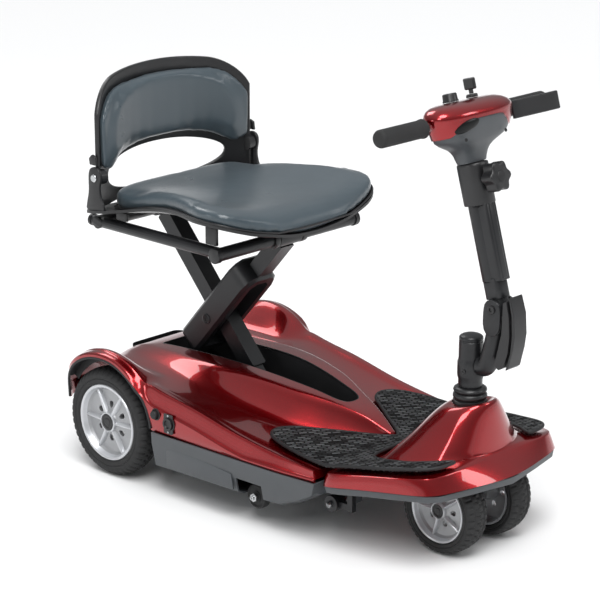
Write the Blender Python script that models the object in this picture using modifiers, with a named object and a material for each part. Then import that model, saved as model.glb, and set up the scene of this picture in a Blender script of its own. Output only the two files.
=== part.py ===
"""Folding travel mobility scooter: red two-part body on four wheels, scissor seat, folding tiller.

Metres, +Z up, the rider faces -Y and the rider's right side is -X. The origin is on the floor,
below the middle of the overall length.
"""
import math

import bmesh
import bpy
from mathutils import Matrix, Vector

# ---------------------------------------------------------------- driving dimensions
GAP = 0.0003                 # clearance kept between touching pieces
REAR_AXLE_Y = 0.335
REAR_RADIUS = 0.105
REAR_RIM = 0.0745
REAR_TYRE_X = (0.178, 0.2285)
FRONT_AXLE_Y = -0.368
FRONT_RADIUS = 0.080
FRONT_RIM = 0.0585
FRONT_TYRE_X = (0.0345, 0.0865)
HALF_WIDTH = 0.2365
REAR_END = 0.475
COVER_BOTTOM = 0.1225
TRAY_TOP = 0.1215
SHELL = 0.003
FLOOR_GAP_Y = -0.1955        # front face of the rear body
FRONT_SECTION_REAR_Y = -0.201

KNUCKLE = (-0.197, 0.072)    # Y and Z of the rod where the two floor sections meet
TROLLEY_Y = -0.041
TROLLEY_Z = 0.0515
TROLLEY_RADIUS = 0.0235

LEG = 0.3986                 # pivot to pivot length of both scissor legs
LEG_ANGLE = math.radians(48.5)
SCISSOR_BASE = Vector((0, 0.3427, 0.1765))
SEAT_FRAME_Z = 0.475
RAIL_RADIUS = 0.0125
RAIL_X = 0.165
BACKREST_HINGE = Vector((0, 0.3716, 0.572))

STEM_RADIUS = 0.016
STUB_TOP = 0.388
TILLER_PIVOT = Vector((0, -0.430, 0.448))
TILLER_LEAN = math.radians(15.9)
HANDLE_AT = 0.327            # distance of the handlebar from the tiller pivot
HANDLE_HALF = 0.217

PARTS = bpy.data.collections.new("mobility_scooter")
CUTTERS = bpy.data.collections.new("cutters")
MATERIALS = {}


# ---------------------------------------------------------------- helpers
def reset_scene():
    for old in list(bpy.data.objects):
        bpy.data.objects.remove(old, do_unlink=True)
    bpy.context.scene.collection.children.link(PARTS)
    bpy.context.scene.collection.children.link(CUTTERS)


def material(name, colour, roughness, metallic=0.0):
    mat = bpy.data.materials.new(name)
    mat.use_nodes = True
    shader = mat.node_tree.nodes["Principled BSDF"]
    shader.inputs["Base Color"].default_value = (*colour, 1.0)
    shader.inputs["Roughness"].default_value = roughness
    shader.inputs["Metallic"].default_value = metallic
    return mat


FINISHES = {
    "red": ((0.45, 0.01, 0.02), 0.15, 0.3),
    "grey_plastic": ((0.12, 0.13, 0.14), 0.5, 0.0),
    "black_plastic": ((0.02, 0.02, 0.02), 0.5, 0.0),
    "black_metal": ((0.03, 0.03, 0.033), 0.4, 0.3),
    "steel": ((0.6, 0.6, 0.6), 0.3, 1.0),
    "alloy": ((0.6, 0.61, 0.63), 0.35, 0.8),
    "rubber": ((0.02, 0.02, 0.02), 0.8, 0.0),
    "vinyl": ((0.12, 0.15, 0.17), 0.4, 0.0),
    "carpet": ((0.03, 0.03, 0.03), 0.95, 0.0),
    "lens": ((0.01, 0.02, 0.02), 0.08, 0.0),
}


def finish(obj, kind, smooth=40):
    """Give the object its own material and shade its round faces smooth."""
    colour, roughness, metallic = FINISHES[kind]
    obj.data.materials.clear()
    obj.data.materials.append(material(obj.name + "_" + kind, colour, roughness, metallic))
    obj.data.shade_smooth()
    obj.data.set_sharp_from_angle(angle=math.radians(smooth))
    return obj


def from_bmesh(name, bm, cutter=False):
    bmesh.ops.recalc_face_normals(bm, faces=bm.faces)
    mesh = bpy.data.meshes.new(name)
    bm.to_mesh(mesh)
    bm.free()
    obj = bpy.data.objects.new(name, mesh)
    (CUTTERS if cutter else PARTS).objects.link(obj)
    if cutter:
        obj.hide_render = True
        obj.display_type = "WIRE"
    return obj


def shift_origin(obj, point):
    """Put the object's origin on its joint, leaving the shape where it is."""
    obj.data.transform(Matrix.Translation(-Vector(point)))
    obj.location = point


def box_bmesh(size, centre, turn=None):
    bm = bmesh.new()
    bmesh.ops.create_cube(bm, size=1.0)
    bmesh.ops.scale(bm, vec=size, verts=bm.verts)
    if turn is not None:
        bmesh.ops.rotate(bm, matrix=turn, verts=bm.verts)
    bmesh.ops.translate(bm, vec=centre, verts=bm.verts)
    return bm


def box(name, size, centre, turn=None, cutter=False):
    return from_bmesh(name, box_bmesh(size, centre, turn), cutter)


def rod(name, radius, start, end, sides=16, cutter=False, end_radius=None):
    """Cylinder or cone between two points."""
    start, end = Vector(start), Vector(end)
    along = end - start
    bm = bmesh.new()
    bmesh.ops.create_cone(bm, cap_ends=True, segments=sides, radius1=radius,
                          radius2=radius if end_radius is None else end_radius, depth=along.length)
    bmesh.ops.rotate(bm, matrix=along.to_track_quat("Z", "X").to_matrix(), verts=bm.verts)
    bmesh.ops.translate(bm, vec=(start + end) / 2, verts=bm.verts)
    return from_bmesh(name, bm, cutter)


def prism(name, outline, depth, frame, cutter=False):
    """Flat outline in a frame's local x, y extruded by +-depth / 2 along its local z."""
    bm = bmesh.new()
    low = [bm.verts.new((u, v, -depth / 2)) for u, v in outline]
    high = [bm.verts.new((u, v, depth / 2)) for u, v in outline]
    count = len(outline)
    bm.faces.new(low[::-1])
    bm.faces.new(high)
    for i in range(count):
        j = (i + 1) % count
        bm.faces.new((low[i], low[j], high[j], high[i]))
    bmesh.ops.transform(bm, matrix=frame, verts=bm.verts)
    return from_bmesh(name, bm, cutter)


def loft(name, rings, closed=False, cap=False, cutter=False):
    """Skin over rings of points; closed joins each ring's ends, cap closes first and last."""
    bm = bmesh.new()
    rows = [[bm.verts.new(p) for p in ring] for ring in rings]
    count = len(rings[0])
    for low, high in zip(rows, rows[1:]):
        for i in range(count if closed else count - 1):
            j = (i + 1) % count
            bm.faces.new((low[i], low[j], high[j], high[i]))
    if cap:
        bm.faces.new(rows[0][::-1])
        bm.faces.new(rows[-1])
    return from_bmesh(name, bm, cutter)


def turned(name, profile, steps, centre, axis="Z", flip=False, cutter=False):
    """Lathe a profile of (radius, height); the outer side runs top to bottom."""
    mesh = bpy.data.meshes.new(name)
    edges = [(i, i + 1) for i in range(len(profile) - 1)]
    if profile[0][0] > 0:
        edges.append((len(profile) - 1, 0))
    mesh.from_pydata([(r, 0, h) for r, h in profile], edges, [])
    obj = bpy.data.objects.new(name, mesh)
    (CUTTERS if cutter else PARTS).objects.link(obj)
    screw = obj.modifiers.new("lathe", "SCREW")
    screw.steps = steps
    screw.render_steps = steps
    screw.use_merge_vertices = True
    screw.merge_threshold = 0.00001
    bake(obj)
    if axis == "X":
        turn = Matrix.Rotation(math.radians(-90 if flip else 90), 4, "Y")
        obj.data.transform(turn)
    obj.location = centre
    return obj


def bake(obj):
    """Replace the object's mesh by its evaluated shape."""
    bpy.context.view_layer.update()
    graph = bpy.context.evaluated_depsgraph_get()
    mesh = bpy.data.meshes.new_from_object(obj.evaluated_get(graph))
    obj.modifiers.clear()
    obj.data = mesh


def combine(obj, other, operation):
    """Exact boolean with another object, which is used up."""
    modifier = obj.modifiers.new(operation.lower(), "BOOLEAN")
    modifier.operation = operation
    modifier.solver = "EXACT"
    modifier.object = other
    bake(obj)
    bpy.data.objects.remove(other, do_unlink=True)
    return obj


def join(obj, *others):
    for other in others:
        combine(obj, other, "UNION")
    return obj


def cut(obj, *others):
    for other in others:
        combine(obj, other, "DIFFERENCE")
    return obj


def thicken(obj, thickness):
    """Make an open surface a shell that grows inwards."""
    solid = obj.modifiers.new("shell", "SOLIDIFY")
    solid.thickness = thickness
    solid.offset = -1
    solid.use_even_offset = True
    bake(obj)


def mirror(obj):
    """Complete a half at X >= 0 to both sides."""
    copy = obj.modifiers.new("mirror", "MIRROR")
    copy.use_axis = (True, False, False)
    copy.use_mirror_merge = True
    copy.merge_threshold = 0.00005
    bake(obj)


def soften(obj, width, segments=1, angle=40):
    bevel = obj.modifiers.new("round", "BEVEL")
    bevel.width = width
    bevel.segments = segments
    bevel.limit_method = "ANGLE"
    bevel.angle_limit = math.radians(angle)
    bake(obj)


def between(table, at):
    """Linear look-up in a list of (position, value), positions falling."""
    if at >= table[0][0]:
        return table[0][1]
    for (a, va), (b, vb) in zip(table, table[1:]):
        if at >= b:
            return vb + (va - vb) * (at - b) / (a - b)
    return table[-1][1]


def flat_frame(z):
    return Matrix.Translation((0, 0, z))


def side_frame(x):
    """Local x, y become world Y, Z; local z becomes world X."""
    turn = Matrix(((0, 0, 1), (1, 0, 0), (0, 1, 0))).to_4x4()
    return Matrix.Translation((x, 0, 0)) @ turn


def both_sides(half):
    """Close an outline given for x >= 0 from the rear to the front."""
    return half + [(-x, y) for x, y in reversed(half) if x > 0]


# ---------------------------------------------------------------- rear body
# Along the rear body, rear to front: Y and a height or half-width.
CROWN_Z = [(0.475, 0.150), (0.470, 0.165), (0.440, 0.196), (0.375, 0.214), (0.235, 0.224),
           (0.100, 0.225), (0.000, 0.215), (-0.080, 0.200), (-0.140, 0.184), (-0.193, 0.158)]
CROWN_HALF = [(0.475, 0.055), (0.300, 0.085), (0.150, 0.090), (0.000, 0.068), (-0.080, 0.040),
              (-0.140, 0.020), (-0.193, 0.004)]
FLANK_HALF = [(0.475, 0.110), (0.150, 0.145), (0.000, 0.115), (-0.080, 0.078), (-0.140, 0.044),
              (-0.193, 0.012)]
WELL_Z = [(0.475, 0.148), (0.470, 0.160), (0.440, 0.185), (0.375, 0.200), (0.235, 0.200),
          (0.100, 0.180), (0.000, 0.161), (-0.080, 0.149), (-0.193, 0.140)]
CREST_Z = [(0.235, 0.2155), (0.190, 0.201), (0.100, 0.187), (0.000, 0.167), (-0.100, 0.1535),
           (-0.193, 0.1450)]
CREST_X = [(0.475, 0.170), (0.440, 0.198), (0.375, 0.212), (0.235, 0.213), (-0.193, 0.206)]
SIDE_X = [(0.475, 0.184), (0.470, 0.198), (0.440, 0.225), (0.400, 0.2365), (0.235, 0.2365),
          (0.190, 0.231), (-0.100, 0.224), (-0.193, 0.216)]


def fender_height(y):
    """Top of the fender over the wheel, an arc about the rear axle."""
    reach = 0.1425
    offset = min(abs(y - REAR_AXLE_Y), reach * 0.98)
    return REAR_RADIUS + math.sqrt(reach * reach - offset * offset)


def crest_height(y):
    if y >= 0.235:
        return max(fender_height(y), between(WELL_Z, y) + 0.002)
    return between(CREST_Z, y)


def cover_section(y, floor=None):
    """Half section of the red rear cover, from the middle out and down."""
    crest = crest_height(y)
    lip = crest - (0.008 if y >= 0.235 else 0.034)
    if 0.19 <= y < 0.235:
        lip = crest - 0.02
    foot = between(CREST_X, y) - (0.055 if y >= 0.235 else 0.020)
    points = [(0, between(CROWN_Z, y)), (between(CROWN_HALF, y), between(CROWN_Z, y) - 0.002),
              (between(FLANK_HALF, y), between(WELL_Z, y)), (foot, between(WELL_Z, y)),
              (between(CREST_X, y) - 0.008, crest), (between(CREST_X, y) + 0.006, crest - 0.001),
              (between(SIDE_X, y), max(lip, COVER_BOTTOM + 0.004)), (between(SIDE_X, y), COVER_BOTTOM)]
    if floor is not None:
        points = [(x, min(z, floor)) for x, z in points]
    return [Vector((x, y, z)) for x, z in points]


def slot_outline(grow):
    """Plan of the long opening in the tunnel top."""
    half = [(0.0, 0.368), (0.048, 0.368), (0.052, 0.360), (0.052, 0.100), (0.042, 0.020),
            (0.031, -0.040), (0.026, -0.075), (0.017, -0.091), (0.0, -0.095)]
    half = [(max(x + grow, 0) if x > 0 else 0, y + (grow if y > 0.3 else -grow if y < -0.07 else 0))
            for x, y in half]
    return both_sides(half)


def make_rear_cover():
    stations = [0.468, 0.445, 0.420, 0.395, 0.365, 0.335, 0.305, 0.275, 0.250, 0.225, 0.190,
                0.130, 0.060, 0.000, -0.050, -0.100, -0.145, -0.180]
    rings = [cover_section(REAR_END, COVER_BOTTOM + 0.004)]
    rings += [cover_section(y) for y in stations]
    rings.append(cover_section(FLOOR_GAP_Y, COVER_BOTTOM + 0.02))
    cover = loft("rear_cover", rings)
    mirror(cover)
    thicken(cover, SHELL)
    cut(cover, prism("slot", slot_outline(0), 0.2, flat_frame(0.26), cutter=True))
    for side in (-1, 1):
        cut(cover, rod("arch", 0.1275, (side * 0.208, REAR_AXLE_Y, REAR_RADIUS),
                       (side * 0.26, REAR_AXLE_Y, REAR_RADIUS), 40, cutter=True))
    handle_hole = box("handle_hole", (0.130, 0.036, 0.06), (0, 0.424, 0.205), cutter=True)
    cut(cover, handle_hole)
    cut(cover, rod("button_hole", 0.0088, (-0.20, 0.192, 0.158), (-0.26, 0.192, 0.158), 20, cutter=True))
    cut(cover, rod("socket_hole", 0.0125, (-0.20, 0.157, 0.148), (-0.26, 0.157, 0.148), 20, cutter=True))
    return finish(cover, "red")


def make_slot_liner():
    """Black tub in the tunnel slot; its floor is the track of the sliding foot."""
    outline = slot_outline(-0.0006)
    top = [Vector((x, y, between(CROWN_Z, y) - 0.0035)) for x, y in outline]
    low = [Vector((x * 0.99, y, 0.150)) for x, y in outline]
    bm = bmesh.new()
    high_row = [bm.verts.new(p) for p in top]
    low_row = [bm.verts.new(p) for p in low]
    for i in range(len(top)):
        j = (i + 1) % len(top)
        bm.faces.new((low_row[i], low_row[j], high_row[j], high_row[i]))
    bm.faces.new(low_row)
    liner = from_bmesh("slot_liner", bm)
    thicken(liner, 0.002)
    return finish(liner, "black_plastic")


def tray_section(y, bottom):
    side = between(SIDE_X, y) - 0.002
    if y > 0.200:
        side = 0.150
    return [Vector((x, y, z)) for x, z in ((0, bottom), (side - 0.024, bottom), (side - 0.010, bottom + 0.006),
                                           (side - 0.001, 0.100), (side, TRAY_TOP))]


def make_rear_tray():
    rows = [(0.455, 0.085), (0.430, 0.058), (0.300, 0.050), (0.2005, 0.050), (0.1995, 0.050), (0.100, 0.050),
            (0.000, 0.052), (-0.105, 0.055), (-0.150, 0.072), (-0.190, 0.096)]
    rings = [[Vector((p.x, 0.458, TRAY_TOP)) for p in tray_section(0.455, 0.085)]]
    rings += [tray_section(y, bottom) for y, bottom in rows]
    rings.append([Vector((p.x, -0.1950, TRAY_TOP)) for p in tray_section(-0.190, 0.096)])
    tray = loft("rear_tray", rings)
    mirror(tray)
    thicken(tray, SHELL)
    for side in (-1, 1):
        cut(tray, box("trolley_pocket", (0.075, 0.062, 0.063), (side * 0.2165, TROLLEY_Y, 0.0535), cutter=True))
        cut(tray, rod("shaft_hole", 0.014, (side * 0.120, REAR_AXLE_Y, REAR_RADIUS),
                      (side * 0.175, REAR_AXLE_Y, REAR_RADIUS), 16, cutter=True))
        join(tray, box("lug", (0.020, 0.024, 0.040), (side * 0.110, -0.1950, 0.080)))
    cut(tray, box("axle_slot", (0.380, 0.014, 0.016), (0, TROLLEY_Y, TROLLEY_Z), cutter=True))
    cut(tray, rod("rod_bore", 0.0063, (-0.2, *KNUCKLE), (0.2, *KNUCKLE), 16, cutter=True))
    return finish(tray, "grey_plastic")


def make_rear_internals():
    """Frame, battery, control box and drive unit hidden under the rear cover."""
    frame = box("main_frame", (0.050, 0.543, 0.022), (0, 0.1235, 0.136))
    cross_rear = box("cross_rear", (0.280, 0.024, 0.020), (0, 0.385, 0.136))
    join(frame, cross_rear, box("cross_front", (0.300, 0.024, 0.010), (0, -0.134, 0.1305)))
    finish(frame, "black_metal")
    battery = box("battery_pack", (0.300, 0.140, 0.058), (-0.010, 0.090, 0.086))
    soften(battery, 0.004)
    finish(battery, "grey_plastic")
    control = box("control_box", (0.110, 0.070, 0.030), (0.080, -0.055, 0.075))
    soften(control, 0.003)
    finish(control, "black_plastic")
    drive = box("drive_unit", (0.090, 0.090, 0.056), (0, REAR_AXLE_Y, REAR_RADIUS - 0.020))
    motor = rod("motor", 0.032, (0.010, 0.215, 0.088), (0.010, 0.300, 0.088), 20)
    tube = rod("axle_tube", 0.016, (-0.120, REAR_AXLE_Y, REAR_RADIUS), (0.120, REAR_AXLE_Y, REAR_RADIUS), 16)
    join(drive, motor, tube)
    finish(drive, "alloy")


def make_handle():
    bar = rod("grab_handle", 0.0065, (-0.0635, 0.424, 0.190), (0.0635, 0.424, 0.190), 12)
    return finish(bar, "black_plastic")


def make_ports():
    button = turned("power_button", [(0, 0.006), (0.0065, 0.006), (0.0080, 0.004), (0.0080, -0.010),
                                     (0, -0.010)], 20, (-0.2325, 0.192, 0.158), "X", flip=True)
    finish(button, "black_plastic")
    socket = turned("charger_socket", [(0, 0.000), (0.0070, 0.000), (0.0080, 0.003), (0.0118, 0.003),
                                       (0.0118, -0.014), (0, -0.014)], 24, (-0.2325, 0.157, 0.148), "X", flip=True)
    finish(socket, "steel")


# ---------------------------------------------------------------- front section
def front_ring(rows):
    """Ring of points for half the front section, bow first."""
    return [Vector(p) for p in rows]


def make_front_cover():
    low = [(0, -0.475, 0.150), (0.090, -0.456, 0.150), (0.158, -0.440, 0.150), (0.178, -0.420, 0.148),
           (0.190, -0.370, 0.143), (0.203, -0.300, 0.135), (0.214, -0.240, 0.126), (0.212, -0.212, 0.121),
           (0.195, -0.202, 0.120), (0.090, -0.202, 0.120), (0, -0.202, 0.120)]
    high = [(0, -0.434, 0.180), (0.090, -0.434, 0.180), (0.150, -0.430, 0.178), (0.172, -0.414, 0.176),
            (0.186, -0.366, 0.170), (0.198, -0.300, 0.161), (0.208, -0.242, 0.150), (0.205, -0.216, 0.145),
            (0.190, -0.207, 0.142), (0.090, -0.207, 0.142), (0, -0.207, 0.142)]
    deck = [(0, -0.431, 0.183), (0.085, -0.429, 0.183), (0.138, -0.424, 0.180), (0.156, -0.408, 0.177),
            (0.170, -0.362, 0.170), (0.182, -0.300, 0.160), (0.190, -0.246, 0.151), (0.186, -0.224, 0.147),
            (0.170, -0.213, 0.145), (0.090, -0.212, 0.145), (0, -0.212, 0.145)]
    skirt = [(0, -0.430, 0.186), (0.046, -0.426, 0.186), (0.080, -0.411, 0.185), (0.108, -0.388, 0.181),
             (0.126, -0.351, 0.174), (0.134, -0.310, 0.168), (0.130, -0.278, 0.163), (0.112, -0.262, 0.160),
             (0.080, -0.256, 0.159), (0.040, -0.253, 0.159), (0, -0.252, 0.159)]
    waist = [(0, -0.424, 0.232), (0.030, -0.421, 0.231), (0.055, -0.410, 0.228), (0.074, -0.390, 0.224),
             (0.083, -0.362, 0.220), (0.085, -0.332, 0.214), (0.080, -0.308, 0.208), (0.066, -0.296, 0.204),
             (0.046, -0.291, 0.203), (0.022, -0.289, 0.203), (0, -0.288, 0.203)]
    shoulder = [(0, -0.416, 0.284), (0.016, -0.414, 0.283), (0.032, -0.405, 0.280), (0.043, -0.390, 0.274),
                (0.047, -0.371, 0.268), (0.047, -0.352, 0.262), (0.043, -0.336, 0.257), (0.034, -0.325, 0.254),
                (0.022, -0.319, 0.252), (0.010, -0.317, 0.251), (0, -0.316, 0.251)]
    count = len(low)
    rim = []
    for i in range(count):
        angle = math.pi * i / (count - 1)
        rim.append((0.0325 * math.sin(angle), FRONT_AXLE_Y - 0.0325 * math.cos(angle), 0.262))
    cover = loft("front_cover", [front_ring(r) for r in (low, high, deck, skirt, waist, shoulder, rim)])
    mirror(cover)
    thicken(cover, SHELL)
    return finish(cover, "red")


def make_front_tray():
    """Grey lip under the red cover with an open well for the steered wheels."""
    half = [(0, -0.4705), (0.090, -0.4515), (0.156, -0.4355), (0.1735, -0.418), (0.186, -0.369), (0.199, -0.299),
            (0.2095, -0.240), (0.2075, -0.2145), (0.193, -0.205), (0.0, -0.205)]
    heights = [(-0.205, 0.1195), (-0.240, 0.1250), (-0.300, 0.1340), (-0.370, 0.1420), (-0.418, 0.147),
               (-0.480, 0.149)]

    def at(x, y, drop, pull):
        return Vector((x * pull, FRONT_AXLE_Y + (y - FRONT_AXLE_Y) * pull, between(heights, y) - drop))

    outer = [at(x, y, 0.0005, 1.0) for x, y in half]
    lower = [at(x, y, 0.0135, 0.985) for x, y in half]
    inner_low = [at(x, y, 0.0135, 0.945) for x, y in half]
    inner_high = [at(x, y, 0.0005, 0.945) for x, y in half]
    rings = []
    for i in range(len(half)):
        rings.append([outer[i], lower[i], inner_low[i], inner_high[i]])
    bm = bmesh.new()
    rows = [[bm.verts.new(p) for p in ring] for ring in rings]
    for a, b in zip(rows, rows[1:]):
        for i in range(4):
            j = (i + 1) % 4
            bm.faces.new((a[i], a[j], b[j], b[i]))
    tray = from_bmesh("front_tray", bm)
    mirror(tray)
    return finish(tray, "grey_plastic")


def make_front_frame():
    """Beam from the joint between the sections up to the steering head tube."""
    beam = box("front_frame", (0.340, 0.018, 0.018), (0, -0.236, 0.128))
    foot, neck = Vector((0, -0.236, 0.130)), Vector((0, -0.354, 0.2235))
    strut = prism("strut", round_box(0.032, (neck - foot).length, 0.004, 1), 0.016,
                  leg_frame(foot, neck, (neck - foot).length / 2))
    head = rod("head", 0.0255, (0, FRONT_AXLE_Y, 0.172), (0, FRONT_AXLE_Y, 0.256), 20)
    join(beam, strut, head)
    for side in (-1, 1):
        join(beam, box("hanger", (0.010, 0.012, 0.060), (side * 0.160, -0.236, 0.095)))
        join(beam, box("arm", (0.010, 0.038, 0.012), (side * 0.160, -0.2205, KNUCKLE[1])))
        join(beam, rod("knuckle", 0.0150, (side * 0.148, *KNUCKLE), (side * 0.172, *KNUCKLE), 16))
    cut(beam, rod("rod_bore", 0.0063, (-0.2, *KNUCKLE), (0.2, *KNUCKLE), 16, cutter=True))
    cut(beam, rod("bore", STEM_RADIUS + GAP, (0, FRONT_AXLE_Y, 0.10), (0, FRONT_AXLE_Y, 0.30), 20, cutter=True))
    return finish(beam, "black_metal")


def make_section_rod():
    """Cross rod that joins the two floor sections through round knuckles."""
    pin = rod("section_rod", 0.006, (-0.178, *KNUCKLE), (0.178, *KNUCKLE), 12)
    return finish(pin, "steel")


def make_floor_mat():
    """Ribbed carpet mat: front part over the deck, two rear lobes beside the tunnel nose."""
    half = [(0.000, -0.2015), (0.018, -0.185), (0.050, -0.135), (0.090, -0.078), (0.112, -0.045), (0.140, -0.030),
            (0.166, -0.040), (0.184, -0.075), (0.196, -0.140), (0.201, -0.215), (0.195, -0.280), (0.183, -0.345),
            (0.166, -0.400), (0.148, -0.418), (0.124, -0.4245), (0.100, -0.4225), (0.106, -0.410),
            (0.124, -0.385), (0.1375, -0.350), (0.1430, -0.308), (0.139, -0.268), (0.120, -0.250),
            (0.080, -0.2445), (0.0, -0.2405)]
    heights = [(-0.030, 0.1660), (-0.100, 0.1630), (-0.190, 0.1580), (-0.215, 0.1590), (-0.2405, 0.1655),
               (-0.268, 0.1705), (-0.308, 0.1770), (-0.350, 0.1830), (-0.385, 0.1890), (-0.4245, 0.1945)]
    bm = bmesh.new()
    top = [bm.verts.new((x, y, between(heights, y))) for x, y in half]
    low = [bm.verts.new((x, y, between(heights, y) - 0.008)) for x, y in half]
    count = len(half)
    for i in range(count - 1):
        bm.faces.new((low[i], low[i + 1], top[i + 1], top[i]))
    for row in (top, low):
        bm.faces.new(row)
    mat = from_bmesh("floor_mat", bm)
    mirror(mat)
    return finish(mat, "carpet")


# ---------------------------------------------------------------- wheels
def make_rim(name, side, axle_y, radius, rim, outer_x, inner_x, windows, shaft_end):
    """Dished wheel with spoke windows, outer face first; side is -1 for the rider's right."""
    mid = (outer_x + inner_x) / 2
    half = (outer_x - inner_x) / 2 - 0.002
    profile = [(0, half - 0.003), (rim * 0.27, half - 0.003), (rim * 0.30, half - 0.009), (rim * 0.86, half - 0.017),
               (rim * 0.90, half - 0.004), (rim * 0.945, half), (rim, half), (rim, half - 0.003),
               (rim - 0.0025, half - 0.006), (rim - 0.0025, -half + 0.006), (rim, -half + 0.003), (rim, -half),
               (rim * 0.93, -half), (rim * 0.86, half - 0.024)]
    if shaft_end is None:
        profile += [(rim * 0.28, half - 0.018), (rim * 0.22, -half), (0.0063, -half), (0.0063, half - 0.012),
                    (0, half - 0.012)]
    else:
        depth = shaft_end - mid
        profile += [(rim * 0.28, half - 0.018), (rim * 0.22, -half), (0.0095, -half - 0.002), (0.0095, depth),
                    (0, depth)]
    body = turned(name, profile, 30 if rim > 0.07 else 24, (side * mid, axle_y, radius), "X", flip=side < 0)
    for i in range(windows):
        angle = 2 * math.pi * (i + 0.5) / windows
        spread = math.pi / windows
        near, far = rim * 0.40, rim * 0.66
        outline = [(near * math.cos(angle - spread * 0.34), near * math.sin(angle - spread * 0.34)),
                   (far * math.cos(angle - spread * 0.52), far * math.sin(angle - spread * 0.52)),
                   (far * math.cos(angle + spread * 0.52), far * math.sin(angle + spread * 0.52)),
                   (near * math.cos(angle + spread * 0.34), near * math.sin(angle + spread * 0.34))]
        outline = [(axle_y + u, radius + v) for u, v in outline]
        cut(body, prism("window", outline, 0.046, side_frame(side * mid), cutter=True))
    return finish(body, "alloy")


def make_tyre(name, side, axle_y, radius, rim, outer_x, inner_x, steps):
    mid = (outer_x + inner_x) / 2
    half = (outer_x - inner_x) / 2
    wall = radius - rim
    bead = rim + 0.0004
    upper = [(bead, half - 0.003), (rim + wall * 0.20, half - 0.0006), (rim + wall * 0.55, half),
             (rim + wall * 0.84, half - 0.005), (radius - 0.0006, half - 0.013), (radius, half * 0.25)]
    profile = upper + [(r, -h) for r, h in reversed(upper)]
    return finish(turned(name, profile, steps, (side * mid, axle_y, radius), "X", flip=side < 0), "rubber")


def make_wheels():
    for side, hand in ((-1, "right"), (1, "left")):
        make_rim("rear_rim_" + hand, side, REAR_AXLE_Y, REAR_RADIUS, REAR_RIM, REAR_TYRE_X[1], REAR_TYRE_X[0],
                 6, 0.1205)
        make_tyre("rear_tyre_" + hand, side, REAR_AXLE_Y, REAR_RADIUS, REAR_RIM, REAR_TYRE_X[1],
                  REAR_TYRE_X[0], 32)
        make_rim("front_rim_" + hand, side, FRONT_AXLE_Y, FRONT_RADIUS, FRONT_RIM, FRONT_TYRE_X[1],
                 FRONT_TYRE_X[0], 5, None)
        make_tyre("front_tyre_" + hand, side, FRONT_AXLE_Y, FRONT_RADIUS, FRONT_RIM, FRONT_TYRE_X[1],
                  FRONT_TYRE_X[0], 28)
        trolley = turned("trolley_wheel_" + hand, [(0.0055, 0.009), (0.0190, 0.009), (TROLLEY_RADIUS, 0.006),
                                                   (TROLLEY_RADIUS, -0.006), (0.0190, -0.009), (0.0055, -0.009)],
                         24, (side * 0.194, TROLLEY_Y, TROLLEY_Z), "X", flip=side < 0)
        finish(trolley, "rubber")
    axle = rod("trolley_axle", 0.005, (-0.206, TROLLEY_Y, TROLLEY_Z), (0.206, TROLLEY_Y, TROLLEY_Z), 12)
    finish(axle, "steel")


# ---------------------------------------------------------------- steering
def make_steering():
    fork = prism("front_fork", round_box(0.044, 0.046, 0.008, 2), 0.088,
                 Matrix.Translation((0, FRONT_AXLE_Y, 0.112)))
    join(fork, rod("stem", STEM_RADIUS, (0, FRONT_AXLE_Y, 0.145), (0, FRONT_AXLE_Y, 0.2918), 20))
    cut(fork, rod("axle_bore", 0.0063, (-0.05, FRONT_AXLE_Y, FRONT_RADIUS), (0.05, FRONT_AXLE_Y, FRONT_RADIUS),
                  16, cutter=True))
    finish(fork, "black_metal")
    axle = rod("front_axle", 0.006, (-0.066, FRONT_AXLE_Y, FRONT_RADIUS), (0.066, FRONT_AXLE_Y, FRONT_RADIUS), 16)
    finish(axle, "steel")
    bellows = turned("column_bellows", [(0.0225, 0.2915), (0.0270, 0.2900), (0.0295, 0.2860), (0.0270, 0.2815),
                                        (0.0300, 0.2770), (0.0300, 0.2660), (0.0300, 0.2565), (0.0175, 0.2565),
                                        (0.0175, 0.2915)], 24, (0, FRONT_AXLE_Y, 0))
    finish(bellows, "rubber")
    stub = turned("column_stub", [(0, STUB_TOP), (0.0130, STUB_TOP), (0.0180, STUB_TOP - 0.003),
                                  (0.0215, STUB_TOP - 0.008), (0.0215, 0.345), (0.0235, 0.335), (0.0235, 0.312),
                                  (0.0215, 0.300), (0.0205, 0.2922), (0, 0.2922)], 24, (0, FRONT_AXLE_Y, 0))
    finish(stub, "black_metal")


def make_arm():
    """Curved arm from the stub, forward and up to the fold pivot, with its clevis and pin."""
    route = [(-0.3940, 0.3330, 0.0165), (-0.400, 0.3340, 0.017), (-0.407, 0.343, 0.0175), (-0.4130, 0.359, 0.0180),
             (-0.419, 0.380, 0.0180), (-0.4240, 0.402, 0.0175), (-0.4285, 0.423, 0.0165)]
    rings = []
    for i, (y, z, size) in enumerate(route):
        before = route[max(i - 1, 0)]
        after = route[min(i + 1, len(route) - 1)]
        ahead = Vector((0, after[0] - before[0], after[1] - before[1])).normalized()
        across = Vector((0, -ahead.z, ahead.y))
        ring = []
        for k in range(12):
            angle = 2 * math.pi * k / 12
            point = Vector((size * math.cos(angle), y, z)) + across * (size * 0.95 * math.sin(angle))
            ring.append(point)
        rings.append(ring)
    arm = loft("curved_arm", rings, closed=True, cap=True)
    join(arm, box("bridge", (0.044, 0.032, 0.016), (0, -0.4290, 0.4175)))
    for side in (-1, 1):
        ear = [(-0.446, 0.410), (-0.4105, 0.410), (-0.4105, 0.450), (-0.418, 0.462), (-0.430, 0.466),
               (-0.442, 0.462), (-0.4485, 0.450)]
        join(arm, prism("ear", ear, 0.006, side_frame(side * 0.0195)))
    join(arm, rod("pin", 0.005, (-0.0215, TILLER_PIVOT.y, TILLER_PIVOT.z), (0.0215, TILLER_PIVOT.y, TILLER_PIVOT.z),
                  14))
    return finish(arm, "black_metal")


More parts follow.
